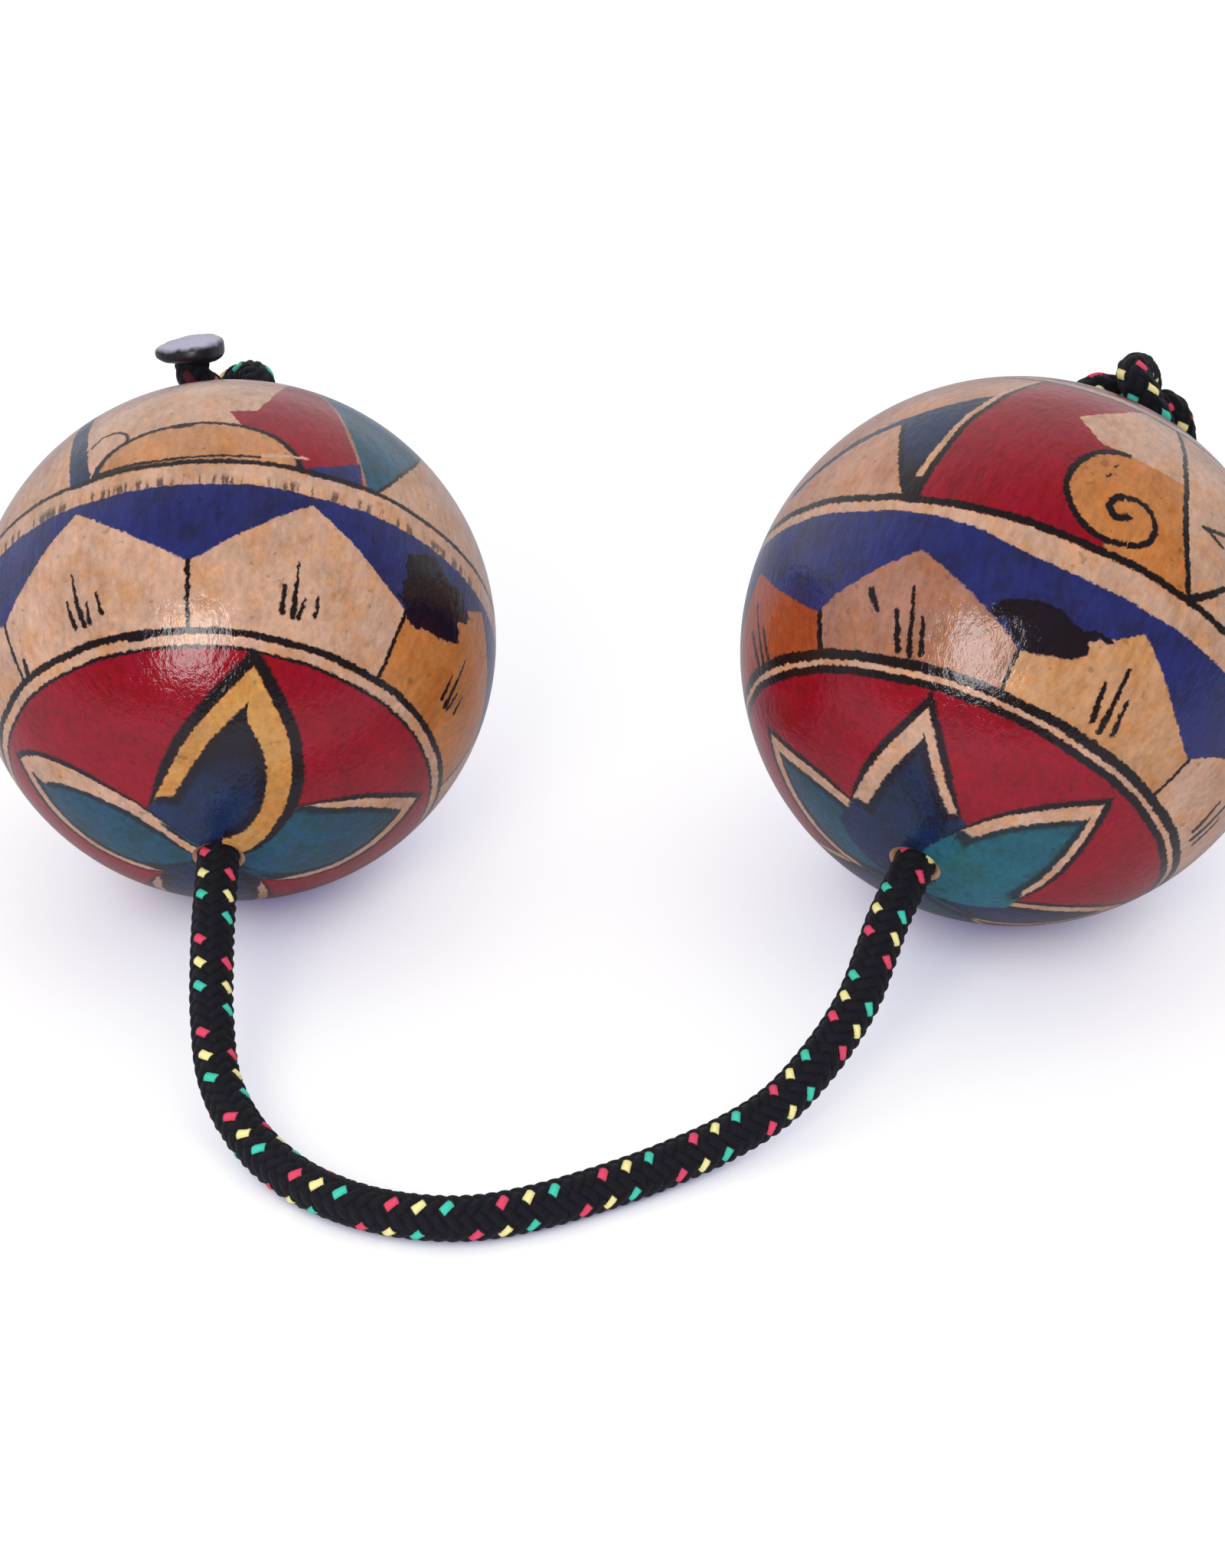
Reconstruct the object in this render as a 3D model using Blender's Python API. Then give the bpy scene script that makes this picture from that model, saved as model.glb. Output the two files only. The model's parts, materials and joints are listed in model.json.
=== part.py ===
"""Kashaka: a pair of seed-filled wooden balls joined by one braided cord.

Each ball is two turned half shells glued over a lap joint. The cord runs through
both poles of each ball and is stopped there by an overhand knot with a melted end.
Units are metres with +Z up. The balls rest on z = 0 side by side along X, and the
free cord lies in front of them, towards -Y.
"""

import math

import bmesh
import bpy
from mathutils import Matrix, Vector
from mathutils.geometry import interpolate_bezier

# Balls and how they lie
LEFT_BALL_DIAMETER = 0.0600
RIGHT_BALL_DIAMETER = 0.0625
BALL_SPACING = 0.0893
BALL_LAG = 0.0048
LEFT_EXIT_TURN = math.radians(0.0)
LEFT_EXIT_DIP = math.radians(23.8)
RIGHT_EXIT_TURN = math.radians(26.6)
RIGHT_EXIT_DIP = math.radians(23.0)

# Turned half shells and their glued lap joint
WALL = 0.0040
LAP_LENGTH = 0.0030
LAP_WALL = 0.0018
GLUE_GAP = 0.0003
COUNTERSINK = 0.0010

# Braided cord
CORD_DIAMETER = 0.0045
BORE_CLEARANCE = 0.0003
SEAT_GAP = 0.0003
FOLD_GAP = 0.0008
EXIT_RUN = 0.0050

# Overhand stopper knot: its strand is squeezed, its windings lie a pitch apart
KNOT_SQUEEZE = 0.84
KNOT_PITCH = 1.12
SEALED_END_DIAMETER = 0.0082
SEALED_END_HEIGHT = 0.0028

# Loose seeds lying in the bottom of each ball
SEED_DIAMETER = 0.0042
SEED_GAP = 0.0003
SEED_RINGS = 2

# Facets
SHELL_SIDES = 36
OUTER_ARC_STEPS = 9
INNER_ARC_STEPS = 6
CORD_STEP = 0.0045
KNOT_STEP = 0.0016
CURVE_STEPS = 12
SEAL_SIDES = 16
SEAL_STEPS = 8
ROUND_END_ANGLES = (30.0, 60.0, 85.0)

# The free cord's way over the table between its two straight exits, left to right
CORD_ROUTE = (
    (-0.0451, -0.0365, 0.0122),
    (-0.0447, -0.0420, 0.0090),
    (-0.0434, -0.0486, 0.0056),
    (-0.0400, -0.0550, 0.0034),
    (-0.0347, -0.0609, 0.0025),
    (-0.0284, -0.0650, 0.0023),
    (-0.0220, -0.0670, 0.0023),
    (-0.0157, -0.0672, 0.0023),
    (-0.0095, -0.0655, 0.0023),
    (-0.0031, -0.0626, 0.0023),
    (0.0032, -0.0592, 0.0025),
    (0.0098, -0.0555, 0.0032),
    (0.0156, -0.0516, 0.0047),
    (0.0206, -0.0469, 0.0078),
    (0.0243, -0.0420, 0.0110),
    (0.0265, -0.0374, 0.0140),
)

# An overhand knot in winding pitches: out of the hole, over an arch, once round the
# standing strand and through the arch. The third number is the height over the ball.
KNOT_WINDINGS = (
    (0.00, 0.00, 0.00),
    (0.00, 0.00, 0.35),
    (-0.06, 0.12, 0.70),
    (-0.30, 0.28, 1.02),
    (-0.50, 0.30, 1.48),
    (-0.18, 0.30, 2.05),
    (0.58, 0.30, 2.33),
    (1.36, 0.30, 2.06),
    (1.82, 0.36, 1.45),
    (1.66, 0.84, 0.88),
    (1.00, 1.32, 0.53),
    (0.05, 1.46, 0.43),
    (-0.80, 1.10, 0.41),
    (-1.18, 0.30, 0.41),
    (-0.78, -0.60, 0.46),
    (0.00, -1.08, 0.62),
    (0.72, -1.08, 0.95),
    (1.10, -0.68, 1.25),
    (0.94, -0.14, 1.37),
    (0.66, 0.40, 1.37),
)
LEFT_KNOT_END = (
    (0.62, 0.95, 1.44),
    (0.54, 1.43, 1.43),
    (0.41, 1.82, 1.30),
    (0.28, 2.06, 1.32),
    (0.12, 2.26, 1.52),
)
RIGHT_KNOT_END = (
    (0.58, 0.84, 1.58),
    (0.38, 1.24, 1.72),
    (0.00, 1.48, 1.62),
    (-0.55, 1.60, 1.42),
    (-1.15, 1.56, 1.30),
    (-1.70, 1.42, 1.24),
)
LEFT_KNOT_TURN = math.radians(45.0)
RIGHT_KNOT_TURN = math.radians(180.0)

# Finishes: colour, roughness
BATIK_WOOD = ((0.46, 0.17, 0.12), 0.25)
CORD_BLACK = ((0.012, 0.010, 0.016), 0.75)
MELTED_NYLON = ((0.10, 0.09, 0.13), 0.35)
SEED_BROWN = ((0.045, 0.022, 0.012), 0.45)

CORD_RADIUS = CORD_DIAMETER / 2
BORE_RADIUS = CORD_RADIUS + BORE_CLEARANCE
MOUTH_RADIUS = BORE_RADIUS + COUNTERSINK
HINGE_HEIGHT = CORD_RADIUS + SEAT_GAP
STRAND_DIAMETER = CORD_DIAMETER * KNOT_SQUEEZE


def clear_scene():
    """Empty the scene."""
    for item in list(bpy.data.objects):
        bpy.data.objects.remove(item, do_unlink=True)


def make_material(name, finish):
    """One plain Principled material for a sub-part."""
    colour, roughness = finish
    material = bpy.data.materials.new(name)
    material.use_nodes = True
    shader = material.node_tree.nodes["Principled BSDF"]
    shader.inputs["Base Color"].default_value = (*colour, 1.0)
    shader.inputs["Roughness"].default_value = roughness
    shader.inputs["Metallic"].default_value = 0.0
    material.diffuse_color = (*colour, 1.0)
    return material


def add_object(name, data, finish, parent):
    """Link a named object with its own material under its parent empty."""
    item = bpy.data.objects.new(name, data)
    data.materials.append(make_material(name, finish))
    bpy.context.collection.objects.link(item)
    item.parent = parent
    return item


def add_empty(name, frame, parent=None):
    """An empty that marks a joint and carries the pieces that move on it."""
    empty = bpy.data.objects.new(name, None)
    empty.empty_display_size = CORD_DIAMETER
    bpy.context.collection.objects.link(empty)
    empty.parent = parent
    empty.matrix_local = frame
    return empty


def arc(radius, start, stop, steps):
    """Profile points (distance from the axis, height) on a circle about the centre, by height."""
    first = math.asin(start / radius)
    last = math.asin(stop / radius)
    angles = (first + (last - first) * i / steps for i in range(steps + 1))
    return [(radius * math.cos(a), radius * math.sin(a)) for a in angles]


def turned_mesh(name, profile, sides):
    """Spin a closed profile round the Z axis into one closed solid."""
    solid = bmesh.new()
    corners = [solid.verts.new((r, 0.0, z)) for r, z in profile]
    edges = [solid.edges.new((a, b)) for a, b in zip(corners, corners[1:])]
    if profile[0][0] > 0.0:
        edges.append(solid.edges.new((corners[-1], corners[0])))
    bmesh.ops.spin(
        solid, geom=corners + edges, cent=(0, 0, 0), axis=(0, 0, 1),
        angle=math.tau, steps=sides, use_merge=True, use_duplicate=False,
    )
    bmesh.ops.remove_doubles(solid, verts=solid.verts, dist=1e-6)
    bmesh.ops.recalc_face_normals(solid, faces=solid.faces)
    mesh = bpy.data.meshes.new(name)
    solid.to_mesh(mesh)
    solid.free()
    mesh.shade_smooth()
    mesh.set_sharp_from_angle(angle=math.radians(35.0))
    return mesh


def pole(radius):
    """Bore, countersink and the ends of both arcs at a shell's pole."""
    inside = radius - WALL
    mouth_height = math.sqrt(radius**2 - MOUTH_RADIUS**2)
    bore_top = (BORE_RADIUS, mouth_height - COUNTERSINK)
    inner_height = math.sqrt(inside**2 - BORE_RADIUS**2)
    return mouth_height, bore_top, inner_height


def front_profile(radius):
    """Half shell on the free cord's side, with the lap joint's spigot below its seam."""
    inside = radius - WALL
    spigot = inside + LAP_WALL
    mouth_height, bore_top, inner_height = pole(radius)
    outer = arc(radius, 0.0, mouth_height, OUTER_ARC_STEPS)
    inner = arc(inside, inner_height, 0.0, INNER_ARC_STEPS)
    return outer + [bore_top] + inner + [(inside, -LAP_LENGTH), (spigot, -LAP_LENGTH), (spigot, 0.0)]


def rear_profile(radius):
    """Half shell on the knot's side, with the recess that takes the spigot, drawn pole up."""
    inside = radius - WALL
    recess = inside + LAP_WALL + GLUE_GAP
    floor = LAP_LENGTH + GLUE_GAP
    mouth_height, bore_top, inner_height = pole(radius)
    outer = arc(radius, GLUE_GAP, mouth_height, OUTER_ARC_STEPS)
    inner = arc(inside, inner_height, floor, INNER_ARC_STEPS)
    return outer + [bore_top] + inner + [(recess, floor), (recess, GLUE_GAP)]


def sealed_end_profile():
    """Mushroom of melted cord: a flat foot under a low rounded cap, from the axis outwards."""
    half = SEALED_END_DIAMETER / 2
    cap = [(CORD_RADIUS, 0.0)]
    for i in range(1, SEAL_STEPS):
        angle = math.pi * (i / SEAL_STEPS - 0.5)
        cap.append((half * math.cos(angle) ** 0.5, SEALED_END_HEIGHT * (1 + math.sin(angle)) / 2))
    return [(0.0, 0.0)] + cap + [(0.0, SEALED_END_HEIGHT)]


def smooth_line(points):
    """Close points on one smooth curve through all the given points."""
    points = [Vector(p) for p in points]
    padded = [2 * points[0] - points[1]] + points + [2 * points[-1] - points[-2]]
    line = [points[0]]
    for before, start, stop, after in zip(padded, padded[1:], padded[2:], padded[3:]):
        leave = start + (stop - before) / 6
        arrive = stop - (after - start) / 6
        line += interpolate_bezier(start, leave, arrive, stop, CURVE_STEPS)[1:]
    return line


def line_length(line):
    """Length of a line of points."""
    return sum((b - a).length for a, b in zip(line, line[1:]))


def along(line, distance):
    """Point and direction at a distance along a line of points."""
    for a, b in zip(line, line[1:]):
        step = (b - a).length
        if distance <= step:
            return a.lerp(b, distance / step), (b - a) / step
        distance -= step
    return line[-1], (line[-1] - line[-2]).normalized()


def stretch(line, start, stop, step):
    """Evenly spaced points of a line between two distances along it."""
    count = max(2, round((stop - start) / step))
    return [along(line, start + (stop - start) * i / count)[0] for i in range(count + 1)]


def round_end(line, radius):
    """Points and radius factors of a hemispherical end past the last point of a line."""
    direction = (line[-1] - line[-2]).normalized()
    angles = [math.radians(a) for a in ROUND_END_ANGLES]
    return [(line[-1] + direction * radius * math.sin(a), math.cos(a)) for a in angles]


def tube(name, sections, radius, finish, parent, frame):
    """Closed round tube through (point, radius factor) sections, given in the parent's frame."""
    curve = bpy.data.curves.new(name, "CURVE")
    curve.dimensions = "3D"
    curve.bevel_depth = radius
    curve.bevel_resolution = 3
    curve.use_fill_caps = True
    spline = curve.splines.new("POLY")
    spline.points.add(len(sections) - 1)
    inverse = frame.inverted()
    for point, (place, factor) in zip(spline.points, sections):
        point.co = (*(inverse @ place), 1.0)
        point.radius = factor
    return add_object(name, curve, finish, parent)


class Ball:
    """Where one ball lies, which way its cord leaves it, and its joint frames."""

    def __init__(self, side, diameter, centre, turn, dip, toward):
        self.side = side
        self.radius = diameter / 2
        self.centre = centre
        level = math.cos(dip)
        self.exit = Vector((toward * math.sin(turn) * level, -math.cos(turn) * level, -math.sin(dip)))
        right = Vector((0, 0, 1)).cross(self.exit).normalized()
        up = self.exit.cross(right)
        self.turned = Matrix((right, up, self.exit)).transposed()
        self.frame = Matrix.Translation(centre) @ self.turned.to_4x4()
        self.hinge = centre + self.exit * (self.radius + HINGE_HEIGHT)
        self.hinge_frame = Matrix.Translation(self.hinge) @ self.turned.to_4x4()
        self.rear = centre - self.exit * self.radius


def make_balls():
    """The two balls, centred on X and Y as one pair and resting on the table."""
    left = LEFT_BALL_DIAMETER / 2
    right = RIGHT_BALL_DIAMETER / 2
    x = (left - right - BALL_SPACING) / 2
    y = (right - left + BALL_LAG) / 2
    left_centre = Vector((x, y, left))
    right_centre = Vector((x + BALL_SPACING, y - BALL_LAG, right))
    return (
        Ball("left", LEFT_BALL_DIAMETER, left_centre, LEFT_EXIT_TURN, LEFT_EXIT_DIP, 1),
        Ball("right", RIGHT_BALL_DIAMETER, right_centre, RIGHT_EXIT_TURN, RIGHT_EXIT_DIP, -1),
    )


def build_shells(ball):
    """Front and rear half shells, which turn together on the cord."""
    spin = add_empty(f"{ball.side}_spin", ball.frame)
    front = turned_mesh(f"{ball.side}_front_shell", front_profile(ball.radius), SHELL_SIDES)
    add_object(f"{ball.side}_front_shell", front, BATIK_WOOD, spin)
    rear = turned_mesh(f"{ball.side}_rear_shell", rear_profile(ball.radius), SHELL_SIDES)
    rear_item = add_object(f"{ball.side}_rear_shell", rear, BATIK_WOOD, spin)
    rear_item.matrix_local = Matrix.Rotation(math.pi, 4, "X")


def build_cord_core(ball, swing):
    """Straight cord through the ball, from the front mouth to the knot."""
    front = ball.centre + ball.exit * ball.radius
    sections = [(front, 1.0), (ball.centre, 1.0), (ball.rear, 1.0)]
    tube(f"{ball.side}_cord_core", sections, CORD_RADIUS, CORD_BLACK, swing, ball.hinge_frame)


def knot_line(ball, turn, end):
    """Smooth line of the stopper knot in world space, from the rear mouth to the cord's end."""
    pitch = STRAND_DIAMETER * KNOT_PITCH
    spun = ball.turned @ Matrix.Rotation(-turn, 3, "Z")
    base = ball.rear - ball.exit * SEAT_GAP
    places = [base + spun @ Vector((-v, -u, -w)) * pitch for u, v, w in KNOT_WINDINGS + end]
    return smooth_line(places)


def build_knot(ball, swing, turn, end):
    """Stopper knot behind the ball and the melted bead that seals the cord's end."""
    line = knot_line(ball, turn, end)
    length = line_length(line)
    places = stretch(line, 0.0, length, KNOT_STEP)
    relax = CORD_DIAMETER / length
    sections = []
    for i, place in enumerate(places):
        share = max(0.0, 1 - (1 - i / (len(places) - 1)) / relax)
        sections.append((place, 1 + (1 / KNOT_SQUEEZE - 1) * min(1.0, share)))
    tube(f"{ball.side}_knot", sections, STRAND_DIAMETER / 2, CORD_BLACK, swing, ball.hinge_frame)
    tip = places[-1]
    direction = (tip - places[-2]).normalized()
    bead = turned_mesh(f"{ball.side}_sealed_end", sealed_end_profile(), SEAL_SIDES)
    bead_item = add_object(f"{ball.side}_sealed_end", bead, MELTED_NYLON, swing)
    upright = direction.to_track_quat("Z", "Y").to_matrix().to_4x4()
    seat = Matrix.Translation(tip + direction * SEAT_GAP) @ upright
    bead_item.matrix_local = ball.hinge_frame.inverted() @ seat


def build_seeds(ball):
    """Loose seeds in rings round the lowest point of the cavity."""
    whirl = add_empty(f"{ball.side}_whirl", ball.frame)
    pitch = SEED_DIAMETER + SEED_GAP
    reach = ball.radius - WALL - SEED_DIAMETER / 2 - SEED_GAP
    places = [Vector((0, 0, -reach))]
    for ring in range(1, SEED_RINGS + 1):
        lean = ring * 2 * math.asin(pitch / (2 * reach))
        count = int(math.tau / (2 * math.asin(pitch / (2 * reach * math.sin(lean)))))
        for i in range(count):
            heading = math.tau * (i + ring / 2) / count
            across = reach * math.sin(lean)
            places.append(Vector((
                across * math.cos(heading), across * math.sin(heading), -reach * math.cos(lean),
            )))
    for number, place in enumerate(places, 1):
        name = f"{ball.side}_seed_{number:02d}"
        solid = bmesh.new()
        bmesh.ops.create_icosphere(solid, subdivisions=2, radius=SEED_DIAMETER / 2)
        mesh = bpy.data.meshes.new(name)
        solid.to_mesh(mesh)
        solid.free()
        mesh.shade_smooth()
        seed = add_object(name, mesh, SEED_BROWN, whirl)
        seed.location = ball.turned.inverted() @ place


def free_line(left, right):
    """The free cord's smooth line from hinge to hinge, never lower than the table allows."""
    start = [left.hinge, left.hinge + left.exit * EXIT_RUN]
    finish = [right.hinge + right.exit * EXIT_RUN, right.hinge]
    line = smooth_line(start + [Vector(p) for p in CORD_ROUTE] + finish)
    return [Vector((p.x, p.y, max(p.z, CORD_RADIUS))) for p in line]


def build_free_cord(left, right):
    """The two halves of the free cord, rounded where they bend: at both exits and at the fold."""
    line = free_line(left, right)
    length = line_length(line)
    fold_frame = Matrix.Translation(along(line, length / 2)[0])
    fold = add_empty("cord_fold", fold_frame)
    inset = FOLD_GAP / 2 + CORD_RADIUS
    spans = {"left": (0.0, length / 2 - inset), "right": (length / 2 + inset, length)}
    for side, (start, stop) in spans.items():
        places = stretch(line, start, stop, CORD_STEP)
        head = round_end(places[::-1], CORD_RADIUS)[::-1]
        tail = round_end(places, CORD_RADIUS)
        sections = head + [(p, 1.0) for p in places] + tail
        tube(f"{side}_cord_run", sections, CORD_RADIUS, CORD_BLACK, fold, fold_frame)


def main():
    """Build the whole instrument."""
    clear_scene()
    left, right = make_balls()
    build_free_cord(left, right)
    knots = {"left": (LEFT_KNOT_TURN, LEFT_KNOT_END), "right": (RIGHT_KNOT_TURN, RIGHT_KNOT_END)}
    for ball in (left, right):
        build_shells(ball)
        swing = add_empty(f"{ball.side}_swing", ball.hinge_frame)
        build_cord_core(ball, swing)
        build_knot(ball, swing, *knots[ball.side])
        build_seeds(ball)


main()
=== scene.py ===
"""Kashaka: batik-varnished wooden balls on one braided cord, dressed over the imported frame.

Each ball is a pair of turned half shells, the cord is one braid that runs from knot to knot,
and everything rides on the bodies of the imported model. Units are metres with +Z up.
"""

import json
import logging
import math
from collections.abc import Callable, Sequence
from dataclasses import dataclass
from enum import Enum

import bpy
from mathutils import Euler, Matrix, Vector
from mathutils.geometry import interpolate_bezier

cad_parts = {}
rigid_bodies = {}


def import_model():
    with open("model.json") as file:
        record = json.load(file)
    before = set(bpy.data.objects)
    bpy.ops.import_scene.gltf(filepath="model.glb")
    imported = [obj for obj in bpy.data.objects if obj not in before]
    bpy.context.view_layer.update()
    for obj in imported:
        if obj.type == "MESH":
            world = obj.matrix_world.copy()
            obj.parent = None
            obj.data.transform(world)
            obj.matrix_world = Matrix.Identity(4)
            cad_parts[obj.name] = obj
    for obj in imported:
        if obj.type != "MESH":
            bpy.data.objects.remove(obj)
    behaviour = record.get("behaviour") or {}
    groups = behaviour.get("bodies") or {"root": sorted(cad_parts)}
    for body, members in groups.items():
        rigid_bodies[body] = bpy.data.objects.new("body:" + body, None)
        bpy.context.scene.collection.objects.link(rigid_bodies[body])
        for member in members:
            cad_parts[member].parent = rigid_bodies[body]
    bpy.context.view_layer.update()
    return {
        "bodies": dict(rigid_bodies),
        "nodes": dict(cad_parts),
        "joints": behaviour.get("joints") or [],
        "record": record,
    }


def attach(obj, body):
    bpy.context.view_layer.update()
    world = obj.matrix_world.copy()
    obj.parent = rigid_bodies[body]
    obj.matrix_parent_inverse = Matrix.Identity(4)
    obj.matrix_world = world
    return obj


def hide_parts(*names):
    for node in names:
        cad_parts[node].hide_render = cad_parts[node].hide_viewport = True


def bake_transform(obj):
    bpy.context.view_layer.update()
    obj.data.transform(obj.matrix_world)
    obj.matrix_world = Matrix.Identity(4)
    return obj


LOG = logging.getLogger("kashaka")

Point = tuple[float, float, float]
Colour = tuple[float, float, float]

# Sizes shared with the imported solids
LEFT_DIAMETER = 0.0600
RIGHT_DIAMETER = 0.0625
CORD_DIAMETER = 0.0045
CORD_RADIUS = CORD_DIAMETER / 2
SEAT_GAP = 0.0003
EXIT_RUN = 0.0050
KNOT_SQUEEZE = 0.84
KNOT_PITCH = 1.12

# The free cord's way over the table between its straight exits, left to right
CORD_ROUTE: tuple[Point, ...] = (
    (-0.0451, -0.0365, 0.0122),
    (-0.0447, -0.0420, 0.0090),
    (-0.0434, -0.0486, 0.0056),
    (-0.0400, -0.0550, 0.0034),
    (-0.0347, -0.0609, 0.0025),
    (-0.0284, -0.0650, 0.0023),
    (-0.0220, -0.0670, 0.0023),
    (-0.0157, -0.0672, 0.0023),
    (-0.0095, -0.0655, 0.0023),
    (-0.0031, -0.0626, 0.0023),
    (0.0032, -0.0592, 0.0025),
    (0.0098, -0.0555, 0.0032),
    (0.0156, -0.0516, 0.0047),
    (0.0206, -0.0469, 0.0078),
    (0.0243, -0.0420, 0.0110),
    (0.0265, -0.0374, 0.0140),
)

# The overhand knot in winding pitches
KNOT_WINDINGS: tuple[Point, ...] = (
    (0.00, 0.00, 0.00),
    (0.00, 0.00, 0.35),
    (-0.06, 0.12, 0.70),
    (-0.30, 0.28, 1.02),
    (-0.50, 0.30, 1.48),
    (-0.18, 0.30, 2.05),
    (0.58, 0.30, 2.33),
    (1.36, 0.30, 2.06),
    (1.82, 0.36, 1.45),
    (1.66, 0.84, 0.88),
    (1.00, 1.32, 0.53),
    (0.05, 1.46, 0.43),
    (-0.80, 1.10, 0.41),
    (-1.18, 0.30, 0.41),
    (-0.78, -0.60, 0.46),
    (0.00, -1.08, 0.62),
    (0.72, -1.08, 0.95),
    (1.10, -0.68, 1.25),
    (0.94, -0.14, 1.37),
    (0.66, 0.40, 1.37),
)

# How far each knot is turned about its cord, and the end that sticks out of it
LEFT_KNOT_TURN = math.radians(45.0)
LEFT_KNOT_END: tuple[Point, ...] = (
    (0.62, 0.95, 1.44),
    (0.54, 1.43, 1.43),
    (0.41, 1.82, 1.30),
    (0.28, 2.06, 1.32),
    (0.12, 2.26, 1.52),
)
RIGHT_KNOT_TURN = math.pi
RIGHT_KNOT_END: tuple[Point, ...] = (
    (0.58, 0.84, 1.58),
    (0.38, 1.24, 1.72),
    (0.00, 1.48, 1.62),
    (-0.55, 1.60, 1.42),
    (-1.15, 1.56, 1.30),
    (-1.70, 1.42, 1.24),
)


class Side(Enum):
    """The two ends of the instrument."""

    LEFT = "left"
    RIGHT = "right"


def linear(red: int, green: int, blue: int) -> Colour:
    """Turn a display colour into a scene colour.

    Args:
        red: Display red, 0 to 255.
        green: Display green, 0 to 255.
        blue: Display blue, 0 to 255.

    Returns:
        The colour in linear light.
    """
    shares = (channel / 255 for channel in (red, green, blue))
    return tuple(s / 12.92 if s <= 0.04045 else ((s + 0.055) / 1.055) ** 2.4 for s in shares)


class Dye(Enum):
    """Dyes and bare wood of the batik, in linear light, with one tan darkened by painted shade and one orange
    that holds a painted reflection.
    """

    RED = linear(131, 5, 27)
    NAVY = linear(35, 39, 93)
    TEAL = linear(26, 72, 96)
    LAGOON = linear(26, 92, 110)
    SLATE = linear(26, 40, 74)
    TAN = linear(185, 146, 123)
    # Tan darkened by painted shade, for the ground behind the belt of the right ball, where its top lies in
    # shade
    TAN_IN_SHADE = linear(176, 130, 106)
    ROSE = linear(152, 106, 88)
    AMBER = linear(176, 112, 60)
    HONEY = linear(180, 128, 88)
    STRAW = linear(180, 134, 96)
    OCHRE = linear(182, 132, 72)
    # Wax of the hill that faces the left ball, mixed with a painted orange reflection of that red ball
    REFLECTED_ORANGE = linear(150, 68, 34)
    LINE = linear(24, 14, 18)
    WOOD = linear(206, 156, 122)
    STAIN = linear(255, 234, 200)


# Shader graphs written as arithmetic


@dataclass(frozen=True)
class Field:
    """A value that varies over a surface: one output socket of a shader graph."""

    graph: "Graph"
    socket: bpy.types.NodeSocket

    def __add__(self, other: "Field | float") -> "Field":
        """Sum."""
        return self.graph.math("ADD", self, other)

    def __radd__(self, other: float) -> "Field":
        """Sum with a number on the left."""
        return self.graph.math("ADD", other, self)

    def __sub__(self, other: "Field | float") -> "Field":
        """Difference."""
        return self.graph.math("SUBTRACT", self, other)

    def __rsub__(self, other: float) -> "Field":
        """Difference with a number on the left."""
        return self.graph.math("SUBTRACT", other, self)

    def __mul__(self, other: "Field | float") -> "Field":
        """Product."""
        return self.graph.math("MULTIPLY", self, other)

    def __rmul__(self, other: float) -> "Field":
        """Product with a number on the left."""
        return self.graph.math("MULTIPLY", other, self)

    def __truediv__(self, other: "Field | float") -> "Field":
        """Quotient."""
        return self.graph.math("DIVIDE", self, other)

    def __abs__(self) -> "Field":
        """Size without its sign."""
        return self.graph.math("ABSOLUTE", self)

    def floor(self) -> "Field":
        """Next whole number below."""
        return self.graph.math("FLOOR", self)

    def above(self, limit: "Field | float") -> "Field":
        """One where the field is above a limit, else zero."""
        return self.graph.math("GREATER_THAN", self, limit)

    def below(self, limit: "Field | float") -> "Field":
        """One where the field is below a limit, else zero."""
        return self.graph.math("LESS_THAN", self, limit)

    def at_least(self, limit: "Field | float") -> "Field":
        """The larger of the field and a limit."""
        return self.graph.math("MAXIMUM", self, limit)

    def at_most(self, limit: "Field | float") -> "Field":
        """The smaller of the field and a limit."""
        return self.graph.math("MINIMUM", self, limit)

    def wrap(self, low: float, high: float) -> "Field":
        """The field brought into a range by whole turns."""
        return self.graph.math("WRAP", self, high, low)


Value = Field | float
Paint = Field | Colour


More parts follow.
